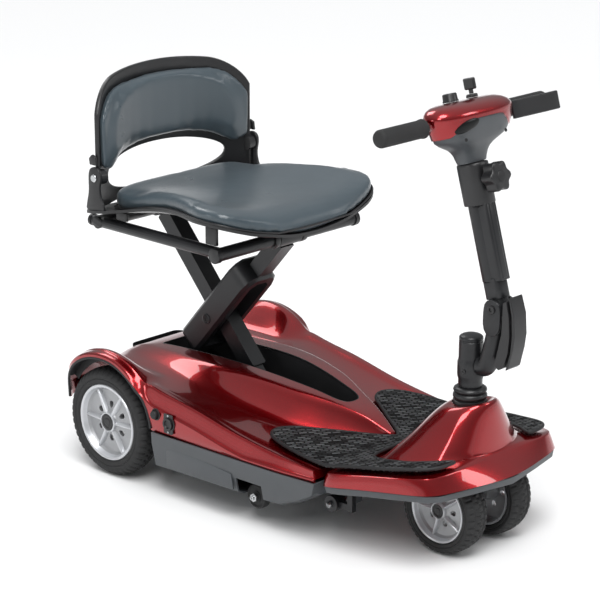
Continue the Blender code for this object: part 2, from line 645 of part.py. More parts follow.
def make_fold_parts():
    """Casing in front of the arm and the squeeze lever that frees the tiller."""
    outline = [(-0.4355, 0.348), (-0.4450, 0.342), (-0.4550, 0.348), (-0.4640, 0.376), (-0.4670, 0.405),
               (-0.4650, 0.440), (-0.4590, 0.468), (-0.4512, 0.464), (-0.4494, 0.408), (-0.4450, 0.390)]
    casing = prism("fold_casing", outline, 0.040, side_frame(0))
    soften(casing, 0.0008)
    finish(casing, "black_plastic")
    plate = [(-0.4575, 0.343), (-0.4640, 0.348), (-0.4730, 0.383), (-0.4765, 0.408), (-0.4740, 0.445),
             (-0.4640, 0.475), (-0.4612, 0.473), (-0.4682, 0.441), (-0.4697, 0.405), (-0.4668, 0.3755)]
    lever = prism("fold_lever", plate, 0.034, side_frame(0))
    shift_origin(lever, (0, -0.4622, 0.4715))
    finish(lever, "black_plastic")


# ---------------------------------------------------------------- tiller
TILLER = Matrix.Translation(TILLER_PIVOT) @ Matrix.Rotation(-TILLER_LEAN, 4, "X")


def on_tiller(x, forward, along):
    """World point for a place on the tiller: forward is away from the rider."""
    return TILLER @ Vector((x, -forward, along))


def tiller_frame(along):
    return TILLER @ Matrix.Translation((0, 0, along))


def round_box(wide, deep, radius, steps=3):
    """Outline of a rectangle with rounded corners."""
    points = []
    for cx, cy, first in ((1, 1, 0), (-1, 1, 90), (-1, -1, 180), (1, -1, 270)):
        for i in range(steps + 1):
            angle = math.radians(first + 90 * i / steps)
            points.append((cx * (wide / 2 - radius) + radius * math.cos(angle),
                           cy * (deep / 2 - radius) + radius * math.sin(angle)))
    return points


def make_tiller():
    tube = prism("tiller_tube", round_box(0.032, 0.040, 0.012), 0.158, tiller_frame(0.097))
    lobes = [(0.0130, -0.0245), (0.0150, -0.0225), (0.0150, -0.0120), (0.0165, -0.0070), (0.0180, 0.0020),
             (0.0172, 0.0120), (0.0120, 0.0190), (0.0, 0.0225)]
    outline = lobes + [(-x, y) for x, y in reversed(lobes[:-1])]
    join(tube, prism("sleeve", outline, 0.1385, tiller_frame(0.10925)))
    foot = prism("foot", round_box(0.030, 0.030, 0.010), 0.040, tiller_frame(0.008))
    join(tube, foot)
    cut(tube, rod("bore", 0.0113, on_tiller(0, 0, 0.050), on_tiller(0, 0, 0.25), 20, cutter=True))
    cut(tube, rod("pin_bore", 0.0053, (-0.05, TILLER_PIVOT.y, TILLER_PIVOT.z),
                  (0.05, TILLER_PIVOT.y, TILLER_PIVOT.z), 16, cutter=True))
    for side in (-1, 1):
        cut(tube, box("groove", (0.006, 0.004, 0.20), on_tiller(side * 0.0180, 0.009, 0.12),
                      Matrix.Rotation(-TILLER_LEAN, 3, "X"), cutter=True))
    shift_origin(tube, TILLER_PIVOT)
    finish(tube, "black_metal")
    collar = prism("clamp_collar", round_box(0.046, 0.056, 0.016), 0.0725, tiller_frame(0.21525))
    join(collar, rod("boss", 0.0125, on_tiller(0, 0.020, 0.222), on_tiller(0, 0.034, 0.222), 16))
    cut(collar, rod("bore", 0.0113, on_tiller(0, 0, 0.15), on_tiller(0, 0, 0.30), 20, cutter=True))
    finish(collar, "black_plastic")
    knob = lobed_knob("clamp_knob", on_tiller(0, 0.0470, 0.222))
    finish(knob, "black_plastic")


def lobed_knob(name, centre):
    """Six-lobed hand knob turning about the tiller's forward direction."""
    outline = []
    for k in range(36):
        angle = 2 * math.pi * k / 36
        radius = 0.0250 + 0.0026 * math.cos(6 * angle)
        outline.append((radius * math.cos(angle), radius * math.sin(angle)))
    turn = TILLER.to_3x3() @ Matrix.Rotation(math.radians(90), 3, "X")
    knob = prism(name, outline, 0.025, Matrix.Translation(centre) @ turn.to_4x4())
    shift_origin(knob, centre)
    return knob


def make_console():
    inner = rod("inner_tube", 0.011, on_tiller(0, 0, 0.060), on_tiller(0, 0, 0.300), 20)
    finish(inner, "steel")
    rows = [(0.2535, 0.031, 0.034, 0.000), (0.268, 0.037, 0.038, 0.001), (0.278, 0.046, 0.044, 0.003),
            (0.285, 0.062, 0.052, 0.006), (0.296, 0.083, 0.062, 0.009), (0.310, 0.090, 0.070, 0.012),
            (0.3255, 0.095, 0.074, 0.013)]
    rings = []
    for along, half_wide, deep, forward in rows:
        radius = min(half_wide, deep / 2) * 0.8
        rings.append([on_tiller(u, forward - v, along) for u, v in round_box(2 * half_wide, deep, radius)])
    lower = loft("console_lower", rings, closed=True, cap=True)
    cut(lower, rod("tube_bore", 0.0113, on_tiller(0, 0, 0.2), on_tiller(0, 0, 0.3005), 20, cutter=True))
    cut(lower, rod("bar_bore", 0.0113, on_tiller(-0.3, 0, HANDLE_AT), on_tiller(0.3, 0, HANDLE_AT), 20,
                   cutter=True))
    finish(lower, "grey_plastic")
    rows = [(0.3260, 0.096, 0.076, 0.013), (0.334, 0.102, 0.080, 0.013), (0.344, 0.098, 0.074, 0.011),
            (0.354, 0.082, 0.058, 0.006), (0.3590, 0.062, 0.038, 0.002)]
    rings = []
    for along, half_wide, deep, forward in rows:
        radius = min(half_wide, deep / 2) * 0.8
        rings.append([on_tiller(u, forward - v, along) for u, v in round_box(2 * half_wide, deep, radius)])
    upper = loft("console_cover", rings, closed=True, cap=True)
    cut(upper, rod("bar_bore", 0.0113, on_tiller(-0.3, 0, HANDLE_AT), on_tiller(0.3, 0, HANDLE_AT), 20,
                   cutter=True))
    finish(upper, "red")
    oval = [(0.021 * math.cos(math.pi * k / 10), 0.009 * math.sin(math.pi * k / 10)) for k in range(20)]
    face = Matrix.Translation(on_tiller(-0.046, 0.0535, 0.318)) @ TILLER.to_3x3().to_4x4()
    lens = prism("front_window", oval, 0.004, face @ Matrix.Rotation(math.radians(90), 4, "X"))
    finish(lens, "lens")


def make_handlebar():
    bar = rod("handlebar", 0.011, on_tiller(-0.212, 0, HANDLE_AT), on_tiller(0.212, 0, HANDLE_AT), 20)
    finish(bar, "steel")
    for side, hand in ((-1, "right"), (1, "left")):
        profile = [(0, 0.1115), (0.0120, 0.1115), (0.0155, 0.1085), (0.0155, -0.0005), (0.0114, -0.0005),
                   (0.0114, 0.1067), (0, 0.1067)]
        grip = turned("grip_" + hand, profile, 20, on_tiller(side * 0.1055, 0, HANDLE_AT), "X", flip=side < 0)
        finish(grip, "rubber")


def make_controls():
    def standing(name, profile, x, forward, along, steps, kind):
        obj = turned(name, profile, steps, (0, 0, 0))
        obj.data.transform(TILLER.to_3x3().to_4x4())
        obj.location = on_tiller(x, forward, along)
        return finish(obj, kind)

    standing("speed_dial", [(0, 0.015), (0.0110, 0.015), (0.0130, 0.012), (0.0140, 0.0003), (0, 0.0003)],
             -0.026, 0.002, 0.3590, 24, "black_plastic")
    standing("key_lock", [(0, 0.0060), (0.0085, 0.0060), (0.0100, 0.0045), (0.0105, 0.0003), (0, 0.0003)],
             0.030, 0.002, 0.3590, 20, "steel")
    blade = box("key", (0.0030, 0.008, 0.008), (0, 0, 0.0105))
    head = box("head", (0.008, 0.024, 0.020), (0, 0, 0.0235))
    soften(head, 0.002)
    join(blade, head)
    blade.data.transform(TILLER.to_3x3().to_4x4())
    blade.location = on_tiller(0.030, 0.002, 0.3590)
    finish(blade, "black_plastic")
    outline = [(0.1045, 0.0175), (0.1120, 0.0175), (0.126, 0.0205), (0.160, 0.0260), (0.190, 0.0310),
               (0.205, 0.0340), (0.212, 0.0385), (0.206, 0.0425), (0.190, 0.0410), (0.150, 0.0345),
               (0.118, 0.0275), (0.1045, 0.0235)]
    frame = TILLER @ Matrix.Translation((0, 0, HANDLE_AT - 0.004)) @ Matrix.Rotation(math.pi, 4, "X")
    paddle = prism("throttle_lever", outline, 0.032, frame)
    pivot = on_tiller(0.107, 0.0185, HANDLE_AT - 0.004)
    soften(paddle, 0.0015)
    shift_origin(paddle, pivot)
    finish(paddle, "black_plastic")


# ---------------------------------------------------------------- seat and scissor
SEAT_FRONT = SCISSOR_BASE + Vector((0, -math.cos(LEG_ANGLE), math.sin(LEG_ANGLE))) * LEG
SEAT_REAR = Vector((0, 0.4047, SEAT_FRONT.z))
FOOT = SEAT_REAR + Vector((0, -math.cos(LEG_ANGLE), -math.sin(LEG_ANGLE))) * LEG


def leg_frame(start, end, along, offset=0.0):
    """Local x is world X, local y runs along the leg, local z is square to both."""
    ahead = (end - start).normalized()
    side = Vector((1, 0, 0))
    square = side.cross(ahead)
    turn = Matrix((side, ahead, square)).transposed().to_4x4()
    return Matrix.Translation(start + ahead * along + square * offset) @ turn


def make_fork_leg():
    start, end = SCISSOR_BASE, SEAT_FRONT
    loop_frame = leg_frame(start, end, 0.178, -0.006)
    loop = [(-0.030, -0.122), (0.030, -0.122), (0.042, -0.110), (0.0425, 0.085), (0.036, 0.106), (0.022, 0.119),
            (-0.022, 0.119), (-0.036, 0.106), (-0.0425, 0.085), (-0.042, -0.110)]
    hole = [(-0.0235, -0.100), (0.0235, -0.100), (0.0235, 0.088), (0.012, 0.100), (-0.012, 0.100),
            (-0.0235, 0.088)]
    leg = prism("fork_leg", loop, 0.054, loop_frame)
    soften(leg, 0.006)
    cut(leg, prism("hole", hole, 0.08, loop_frame, cutter=True))
    join(leg, prism("upper", round_box(0.034, 0.105, 0.002, 1), 0.031, leg_frame(start, end, 0.336)))
    join(leg, prism("lower", round_box(0.034, 0.066, 0.002, 1), 0.026, leg_frame(start, end, 0.031)))
    for centre, radius, half, bore in ((start, 0.0140, 0.026, 0.0063), (end, 0.0157, 0.028, RAIL_RADIUS + GAP)):
        reach = Vector((half, 0, 0))
        join(leg, rod("barrel", radius, centre - reach, centre + reach, 20))
        cut(leg, rod("bore", bore, centre - reach * 2, centre + reach * 2, 20, cutter=True))
    shift_origin(leg, start)
    return finish(leg, "black_metal")


def make_slide_leg():
    start, end = SEAT_REAR, FOOT
    leg = prism("slide_leg", round_box(0.034, 0.355, 0.003, 1), 0.032, leg_frame(start, end, 0.190))
    join(leg, prism("toe", round_box(0.023, 0.050, 0.003, 1), 0.020, leg_frame(start, end, 0.376)))
    for centre, radius, half, bore in ((start, 0.0157, 0.028, RAIL_RADIUS + GAP), (end, 0.0105, 0.0115, 0.0053)):
        reach = Vector((half, 0, 0))
        join(leg, rod("barrel", radius, centre - reach, centre + reach, 20))
        cut(leg, rod("bore", bore, centre - reach * 2, centre + reach * 2, 20, cutter=True))
    shift_origin(leg, start)
    return finish(leg, "black_metal")


def make_shoe():
    shoe = box("slide_shoe", (0.0345, 0.036, 0.008), (0, FOOT.y, 0.1590))
    for side in (-1, 1):
        join(shoe, box("cheek", (0.005, 0.030, 0.030), (side * 0.01475, FOOT.y, 0.1705)))
    join(shoe, rod("pin", 0.005, FOOT - Vector((0.015, 0, 0)), FOOT + Vector((0.015, 0, 0)), 14))
    shift_origin(shoe, FOOT)
    return finish(shoe, "black_plastic")


def make_leg_bracket():
    """Foot plate with two uprights and the pin that carries the fork leg."""
    y, z = SCISSOR_BASE.y, SCISSOR_BASE.z
    bracket = box("leg_bracket", (0.092, 0.042, 0.005), (0, y, 0.1550))
    for side in (-1, 1):
        join(bracket, box("upright", (0.008, 0.034, 0.040), (side * 0.040, y, 0.1740)))
    reach = Vector((0.042, 0, 0))
    join(bracket, rod("pin", 0.006, SCISSOR_BASE - reach, SCISSOR_BASE + reach, 14))
    return finish(bracket, "black_metal")


def make_seat_frame():
    """Front and rear cross tubes that the scissor legs pivot on, joined by two side rails."""
    front, rear = SEAT_FRONT, SEAT_REAR
    frame = rod("seat_frame", RAIL_RADIUS, front - Vector((0.183, 0, 0)), front + Vector((0.183, 0, 0)), 20)
    join(frame, rod("rear_tube", RAIL_RADIUS, rear - Vector((0.176, 0, 0)), rear + Vector((0.176, 0, 0)), 20))
    for side in (-1, 1):
        drop = Vector((side * RAIL_X, 0, -0.0006))
        join(frame, rod("rail", 0.011, front + drop + Vector((0, 0.002, 0)), rear + drop + Vector((0, 0.026, 0)), 16))
        join(frame, rod("front_cap", 0.0142, front + Vector((side * 0.1795, 0, 0)),
                        front + Vector((side * 0.1865, 0, 0)), 20))
    return finish(frame, "black_metal")


# Along the seat, rear to front: Y, half-width, rise of the side edge over the middle, thickness.
PAN_ROWS = [(0.4110, 0.150, 0.002), (0.4040, 0.198, 0.004), (0.3920, 0.2095, 0.006), (0.3450, 0.2095, 0.013),
            (0.3100, 0.196, 0.019), (0.2650, 0.178, 0.027), (0.2150, 0.178, 0.034), (0.1600, 0.192, 0.039),
            (0.1100, 0.2085, 0.040), (0.0700, 0.2085, 0.040), (0.0350, 0.190, 0.034), (0.0140, 0.150, 0.022),
            (0.0030, 0.085, 0.008)]
PAN_Z = 0.4955
PAN_THICK = 0.006
CUSHION_ROWS = [(0.3940, 0.100, 0.014, 0.010), (0.3900, 0.120, 0.030, 0.022), (0.3780, 0.152, 0.043, 0.030),
                (0.3450, 0.168, 0.043, 0.031), (0.3100, 0.172, 0.043, 0.031), (0.2650, 0.172, 0.043, 0.031),
                (0.2150, 0.1735, 0.043, 0.031), (0.1600, 0.188, 0.043, 0.031), (0.1100, 0.2045, 0.043, 0.031),
                (0.0700, 0.2045, 0.0425, 0.030), (0.0350, 0.1865, 0.040, 0.027), (0.0190, 0.152, 0.034, 0.023),
                (0.0080, 0.105, 0.020, 0.014), (0.0045, 0.085, 0.008, 0.006)]
BOW = (-1.0, -0.86, -0.70, -0.50, -0.25, 0.0, 0.25, 0.50, 0.70, 0.86, 1.0)


def make_seat_pan():
    """Thin bucket-shaped shell with an ear at each rear corner and four brackets to the rails."""
    rings = []
    for y, half, rise in PAN_ROWS:
        low = [Vector((half * t, y, PAN_Z + rise * abs(t) ** 2.2)) for t in BOW]
        rings.append(low + [p + Vector((0, 0, PAN_THICK)) for p in reversed(low)])
    pan = loft("seat_pan", rings, closed=True, cap=True)
    for side in (-1, 1):
        for y, top in ((0.105, 0.5215), (0.345, 0.5065)):
            join(pan, box("bracket", (0.014, 0.036, top - 0.4880), (side * RAIL_X, y, (top + 0.4880) / 2)))
    ear = [(0.348, 0.5105), (0.396, 0.5105), (0.3945, 0.522), (0.388, 0.545), (0.3885, 0.578), (0.382, 0.589),
           (0.3716, 0.592), (0.361, 0.589), (0.3550, 0.578), (0.3600, 0.555), (0.3570, 0.535), (0.347, 0.520)]
    for side in (-1, 1):
        join(pan, prism("ear", ear, 0.006, side_frame(side * 0.2060)))
        hinge = Vector((side * 0.2060, BACKREST_HINGE.y, BACKREST_HINGE.z))
        cut(pan, rod("bolt_hole", 0.0045, hinge - Vector((0.01, 0, 0)), hinge + Vector((0.01, 0, 0)), 12,
                     cutter=True))
    return finish(pan, "black_plastic")


def pan_top(x, y):
    """Height of the pan's upper face, as straight facets between its rows."""
    half = between([(row[0], row[1]) for row in PAN_ROWS], y)
    rise = between([(row[0], row[2]) for row in PAN_ROWS], y)
    steps = [(t, t ** 2.2) for t in reversed(BOW) if t >= 0]
    return PAN_Z + PAN_THICK + rise * between(steps, min(abs(x) / half, 1))


def make_cushion():
    """Seat cushion over the pan, flat in the middle of its top and rounded over at the edges."""
    base = PAN_Z + PAN_THICK + GAP
    rings = []
    for y, half, thick, edge in CUSHION_ROWS:
        low = [Vector((half * t, y, pan_top(half * t, y) + 0.0009)) for t in BOW]
        high = []
        for point, t in zip(low, BOW):
            bulge = thick + (edge - thick) * (max(abs(t) - 0.5, 0) / 0.5) ** 1.5
            top = base + thick if abs(t) <= 0.5 else max(point.z + bulge, base + thick)
            high.append(Vector((point.x, y, min(top, point.z + thick))))
        for k in (0, -1):
            high[k] = Vector((high[k].x * 0.955, y, high[k].z))
        left = Vector((-half - 0.0045, y, low[0].z + edge * 0.5))
        right = Vector((half + 0.0045, y, low[-1].z + edge * 0.5))
        rings.append(low + [right] + high[::-1] + [left])
    cushion = loft("seat_cushion", rings, closed=True, cap=True)
    return finish(cushion, "vinyl")


SHELL_X = [0.0, 0.040, 0.080, 0.115, 0.140, 0.151, 0.155, 0.172, 0.188, 0.1995]


def backrest_y(x):
    """Plan curve of the backrest: deep in the middle, wrapping forward at the sides."""
    return 0.432 - 0.062 * (x / 0.2025) ** 2.4


def backrest_top(x):
    return 0.757 - 0.014 * (x / 0.15) ** 2 - (0.046 * ((x - 0.150) / 0.0525) ** 2 if x > 0.150 else 0)


def opening_top(x):
    return 0.5625 + 0.0365 * math.sqrt(max(0, 1 - (x / 0.155) ** 2))


def opening_low(x):
    return 0.5615 - 0.0445 * math.sqrt(max(0, 1 - (x / 0.155) ** 2))


def backrest_low(x):
    return 0.5065 + 0.016 * max(0, (x - 0.15) / 0.0525) ** 2


def make_backrest():
    bm = bmesh.new()
    columns = []
    for x in SHELL_X:
        y = backrest_y(x)
        heights = (backrest_low(x), opening_low(x), opening_top(x), backrest_top(x))
        columns.append([bm.verts.new((x, y, z)) for z in heights])
    for a, b in zip(columns, columns[1:]):
        for level in (0, 1, 2):
            solid = level != 1 or a[0].co.x >= 0.1549
            if solid:
                bm.faces.new((a[level], b[level], b[level + 1], a[level + 1]))
    shell = from_bmesh("backrest_shell", bm)
    mirror(shell)
    thicken_both(shell, 0.009)
    for side in (-1, 1):
        join(shell, rod("boss", 0.014, (side * 0.186, BACKREST_HINGE.y, BACKREST_HINGE.z),
                        (side * 0.2028, BACKREST_HINGE.y, BACKREST_HINGE.z), 16))
        cut(shell, rod("bolt_bore", 0.0045, (side * 0.192, BACKREST_HINGE.y, BACKREST_HINGE.z),
                       (side * 0.22, BACKREST_HINGE.y, BACKREST_HINGE.z), 12, cutter=True))
        bolt = turned("backrest_bolt_" + ("right" if side < 0 else "left"),
                      [(0, 0.0030), (0.0060, 0.0030), (0.0075, 0.0015), (0.0075, 0.0003), (0.0040, 0.0003),
                       (0.0040, -0.0160), (0, -0.0160)], 16,
                      (side * 0.2095, BACKREST_HINGE.y, BACKREST_HINGE.z), "X", flip=side < 0)
        finish(bolt, "steel")
    finish(shell, "black_plastic")
    bm = bmesh.new()
    stations = [0.0, 0.045, 0.090, 0.130, 0.160, 0.180, 0.190]
    rows = []
    for x in stations:
        low = opening_top(x) + 0.010 + (0.0170 * ((x - 0.13) / 0.06) ** 2 if x > 0.13 else 0)
        high = backrest_top(x) - 0.016 - (0.012 * ((x - 0.13) / 0.06) ** 2 if x > 0.13 else 0)
        rear = backrest_y(x) - 0.0065
        deep = 0.026 if x < 0.185 else 0.016
        rows.append([Vector((x, rear, low)), Vector((x, rear - deep * 0.6, low - 0.001)),
                     Vector((x, rear - deep, low + 0.012)), Vector((x, rear - deep - 0.002, (low + high) / 2)),
                     Vector((x, rear - deep, high - 0.012)), Vector((x, rear - deep * 0.6, high + 0.001)),
                     Vector((x, rear, high))])
    vert_rows = [[bm.verts.new(p) for p in row] for row in rows]
    for a, b in zip(vert_rows, vert_rows[1:]):
        for i in range(7):
            j = (i + 1) % 7
            bm.faces.new((a[i], a[j], b[j], b[i]))
    bm.faces.new(vert_rows[-1])
    pad = from_bmesh("backrest_pad", bm)
    mirror(pad)
    finish(pad, "vinyl")


def thicken_both(obj, thickness):
    solid = obj.modifiers.new("shell", "SOLIDIFY")
    solid.thickness = thickness
    solid.offset = 0
    solid.use_even_offset = True
    bake(obj)


def main():
    reset_scene()
    make_rear_cover()
    make_slot_liner()
    make_rear_tray()
    make_rear_internals()
    make_handle()
    make_ports()
    make_front_cover()
    make_front_tray()
    make_front_frame()
    make_section_rod()
    make_floor_mat()
    make_wheels()
    make_steering()
    make_arm()
    make_fold_parts()
    make_tiller()
    make_console()
    make_handlebar()
    make_controls()
    make_fork_leg()
    make_slide_leg()
    make_shoe()
    make_leg_bracket()
    make_seat_frame()
    make_seat_pan()
    make_cushion()
    make_backrest()


main()
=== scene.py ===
import math

import bmesh
import bpy
import numpy as np
from mathutils import Matrix, Vector


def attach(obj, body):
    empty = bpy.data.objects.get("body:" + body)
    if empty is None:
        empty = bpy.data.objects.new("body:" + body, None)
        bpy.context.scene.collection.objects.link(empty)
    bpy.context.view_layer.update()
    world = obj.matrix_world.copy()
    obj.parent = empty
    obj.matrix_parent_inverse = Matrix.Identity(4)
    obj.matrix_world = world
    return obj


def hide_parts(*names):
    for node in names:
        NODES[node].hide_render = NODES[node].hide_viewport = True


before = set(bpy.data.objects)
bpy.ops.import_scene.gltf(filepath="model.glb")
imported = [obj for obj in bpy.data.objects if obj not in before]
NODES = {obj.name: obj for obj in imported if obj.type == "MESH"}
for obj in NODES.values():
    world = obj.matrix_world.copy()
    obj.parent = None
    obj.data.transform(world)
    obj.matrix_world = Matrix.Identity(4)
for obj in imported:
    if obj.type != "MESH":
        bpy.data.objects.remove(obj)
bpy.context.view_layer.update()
PI = math.pi
AT = Matrix.Translation
SIDES = ((-1, "right"), (1, "left"))
SIDEWAYS = Matrix(((0, 0, 1), (1, 0, 0), (0, 1, 0))).to_4x4()  # lays a prism's outline in the YZ plane

REAR_AXLE = Vector((0, 0.335, 0.105))
FRONT_AXLE = Vector((0, -0.368, 0.08))
COLUMN_Y = -0.368
TILLER_PIVOT = Vector((0, -0.43, 0.448))
LEAN = math.radians(15.9)
TILLER = AT(TILLER_PIVOT) @ Matrix.Rotation(-LEAN, 4, "X")
HANDLE_AT = 0.327
ARCH = 0.1283  # radius of the wheel arches
PORTS = ((0.192, 0.158, 0.0088), (0.157, 0.148, 0.0125))  # y, z and radius of the button and charger holes
REAR_WHEEL = (0.105, 0.0745, 0.2285, 0.178)  # tyre radius, rim radius, outer face, inner face
FRONT_WHEEL = (0.08, 0.0585, 0.0865, 0.0345)
SEAT_PIVOT = Vector((0, 0.07858, 0.47503))
SLIDE_PIVOT = Vector((0, 0.4047, 0.47503))
FORK_FOOT = Vector((0, 0.3427, 0.1765))
LEG_LEAN = math.radians(48.5)
BACK_HINGE = (0.3716, 0.572)
CLAMP_AT = 0.222
COVER_WALL = 0.0028
FENDER = 0.1425  # radius of the red bulge over each rear wheel
GRAB = (0.132, 0.04, 0.018)  # recess in the tail: width, depth and corner radius
FLOOR_COLOUR = (0.84, 0.84, 0.84, 1)
ROUGH_SPREAD = 0.06  # roughness wanders this far either way
VOXEL, CLOTH_FRAMES, PRESSURE = 0.0055, 20, 3.0
EYE, EYE_TURN, LENS = (-3.0567, -2.8947, 1.6616), (72.931, 0, -46.132), 144.0


# ---------------------------------------------------------------- materials
def node_of(tree, kind, **inputs):
    """Node with its inputs set to values, or linked where an input is given a socket."""
    node = tree.nodes.new(kind)
    for key, value in inputs.items():
        socket = node.inputs[key.replace("_", " ")]
        if isinstance(value, bpy.types.NodeSocket):
            tree.links.new(value, socket)
        else:
            socket.default_value = value
    return node


def material(name):
    mat = bpy.data.materials.new(name)
    mat.use_nodes = True
    return mat, mat.node_tree, mat.node_tree.nodes["Principled BSDF"].inputs


def surface(name, colour, rough, metal=0.0, coat=0.0, coat_rough=0.04, vary=0.12, vary_scale=18.0,
        grain=900.0, bump=0.03, depth=0.0004, voronoi=False, sheen=0.0, spec=0.5):
    """Principled material with soft colour drift, uneven roughness and a fine surface grain."""
    mat, tree, shader = material(name)
    for key, value in (("Metallic", metal), ("Coat Weight", coat), ("Coat Roughness", coat_rough),
            ("Specular IOR Level", spec)):
        shader[key].default_value = value
    if sheen:
        shader["Sheen Weight"].default_value = sheen
        shader["Sheen Roughness"].default_value = 0.5
    where = tree.nodes.new("ShaderNodeTexCoord").outputs["Object"]
    drift = node_of(tree, "ShaderNodeTexNoise", Vector=where, Scale=vary_scale, Detail=4.0)
    ramp = node_of(tree, "ShaderNodeValToRGB", Fac=drift.outputs["Fac"])
    for element, at, sign in zip(ramp.color_ramp.elements, (0.3, 0.7), (-1, 1)):
        element.position = at
        element.color = (*[min(1, c * (1 + sign * vary)) for c in colour], 1)
    tree.links.new(ramp.outputs["Color"], shader["Base Color"])
    uneven = node_of(tree, "ShaderNodeTexNoise", Vector=where, Scale=vary_scale * 3.1, Detail=3.0)
    spread = node_of(tree, "ShaderNodeMapRange", Value=uneven.outputs["Fac"],
        To_Min=max(0.02, rough - ROUGH_SPREAD), To_Max=min(1.0, rough + ROUGH_SPREAD))
    tree.links.new(spread.outputs["Result"], shader["Roughness"])
    if bump:
        fine = node_of(tree, "ShaderNodeTexVoronoi" if voronoi else "ShaderNodeTexNoise", Vector=where,
            Scale=grain)
        press = node_of(tree, "ShaderNodeBump", Strength=bump, Distance=depth,
            Height=fine.outputs["Distance" if voronoi else "Fac"])
        tree.links.new(press.outputs["Normal"], shader["Normal"])
    return mat


def carpet_material():
    """Black ribbed carpet: short raised loops in diagonal rows, some of them paler."""
    mat = surface("ribbed_carpet", (0.012, 0.012, 0.013), 0.95, vary=0.3, bump=0, spec=0.15)
    tree = mat.node_tree
    shader = tree.nodes["Principled BSDF"].inputs
    where = tree.nodes.new("ShaderNodeTexCoord").outputs["Object"]
    turn = node_of(tree, "ShaderNodeMapping", Vector=where, Rotation=(0, 0, math.radians(32)))
    rows = node_of(tree, "ShaderNodeTexBrick", Vector=turn.outputs["Vector"], Scale=36.0, Mortar_Size=0.07,
        Mortar_Smooth=0.9, Brick_Width=0.62, Row_Height=0.26, Color1=(0.012, 0.012, 0.013, 1),
        Color2=(0.17, 0.175, 0.18, 1), Mortar=(0.004, 0.004, 0.004, 1))
    rows.offset = 0.5
    fuzz = node_of(tree, "ShaderNodeTexNoise", Vector=where, Scale=850.0, Detail=3.0)
    mix = tree.nodes.new("ShaderNodeMix")
    mix.data_type = "RGBA"
    mix.blend_type = "MULTIPLY"
    mix.inputs[0].default_value = 0.75
    tree.links.new(rows.outputs["Color"], mix.inputs[6])
    tree.links.new(fuzz.outputs["Color"], mix.inputs[7])
    tree.links.new(mix.outputs[2], shader["Base Color"])
    low = node_of(tree, "ShaderNodeBump", Strength=1.0, Distance=0.004, Height=rows.outputs["Fac"])
    low.invert = True
    high = node_of(tree, "ShaderNodeBump", Strength=0.5, Distance=0.0007, Height=fuzz.outputs["Fac"],
        Normal=low.outputs["Normal"])
    tree.links.new(high.outputs["Normal"], shader["Normal"])
    return mat


RED = surface("candy_red", (0.28, 0.0012, 0.004), 0.24, 0.85, 1.0, 0.02, vary=0.05, vary_scale=6, grain=2600,
    bump=0.04, depth=0.0001, voronoi=True)
GREY = surface("moulded_grey", (0.06, 0.066, 0.072), 0.42, vary=0.05, grain=1500, bump=0.12, depth=0.0002)
SATIN = surface("satin_black_plastic", (0.011, 0.011, 0.012), 0.36, vary=0.15, grain=1400, bump=0.1,
    depth=0.0002)
DARK = surface("matt_black_plastic", (0.008, 0.008, 0.009), 0.6, vary=0.2, grain=1100, bump=0.2, depth=0.0003)
COAT = surface("powder_coat", (0.013, 0.0135, 0.015), 0.34, 0.2, vary=0.15, grain=1700, bump=0.14,
    depth=0.00025)
SILVER = surface("silver_lacquer", (0.56, 0.57, 0.59), 0.34, 0.6, 0.4, 0.12, vary=0.05, grain=2300, bump=0.05,
    depth=0.0001, voronoi=True)
# Darker copy of the silver lacquer: painted shade for the dished web between the wheel spokes.
SHADE_PAINTED_DISH = surface("painted_shade_lacquer", (0.36, 0.365, 0.375), 0.42, 0.55, 0.2, 0.2, vary=0.05, grain=2300, bump=0.05,
    depth=0.0001, voronoi=True)
ZINC = surface("zinc_plate", (0.55, 0.56, 0.57), 0.25, 1.0, vary=0.1, vary_scale=60, grain=1300, bump=0.08)
TYRE = surface("tyre_rubber", (0.011, 0.011, 0.0115), 0.7, vary=0.25, vary_scale=40, grain=900, bump=0.25,
    depth=0.0004)
GRIP = surface("foam_rubber", (0.012, 0.012, 0.0125), 0.72, vary=0.2, grain=1300, bump=0.4, depth=0.0003)
VINYL = surface("slate_vinyl", (0.042, 0.061, 0.074), 0.3, vary=0.07, vary_scale=9, grain=1500, bump=0.22,
    depth=0.00035, voronoi=True, sheen=0.1, coat=0.3, coat_rough=0.24)
WINDOW = surface("dark_window", (0.0015, 0.002, 0.002), 0.3, bump=0, spec=0.25)
CARPET = carpet_material()


# ---------------------------------------------------------------- geometry helpers
def add(name, bm, mat, smooth=35, recalc=True):
    if recalc:
        bmesh.ops.recalc_face_normals(bm, faces=bm.faces)
    mesh = bpy.data.meshes.new(name)
    bm.to_mesh(mesh)
    bm.free()
    obj = bpy.data.objects.new(name, mesh)
    bpy.context.scene.collection.objects.link(obj)
    if mat is not None:
        mesh.materials.append(mat)
    mesh.shade_smooth()
    if smooth:
        mesh.set_sharp_from_angle(angle=math.radians(smooth))
    return obj


def apply(obj, smooth=35):
    bpy.context.view_layer.update()
    graph = bpy.context.evaluated_depsgraph_get()
    mesh = bpy.data.meshes.new_from_object(obj.evaluated_get(graph))
    obj.modifiers.clear()
    obj.data = mesh
    mesh.shade_smooth()
    if smooth:
        mesh.set_sharp_from_angle(angle=math.radians(smooth))
    return obj


def modify(obj, kind, **settings):
    modifier = obj.modifiers.new(kind.lower(), kind)
    for key, value in settings.items():
        setattr(modifier, key, value)
    return modifier


def boolean(obj, cutter, operation="DIFFERENCE"):
    modify(obj, "BOOLEAN", operation=operation, solver="EXACT", object=cutter)
    apply(obj)
    bpy.data.objects.remove(cutter, do_unlink=True)
    return obj


def round_edges(obj, width, segments=2, angle=35):
    modify(obj, "BEVEL", width=width, segments=segments, limit_method="ANGLE",
        angle_limit=math.radians(angle))
    return apply(obj, 50)


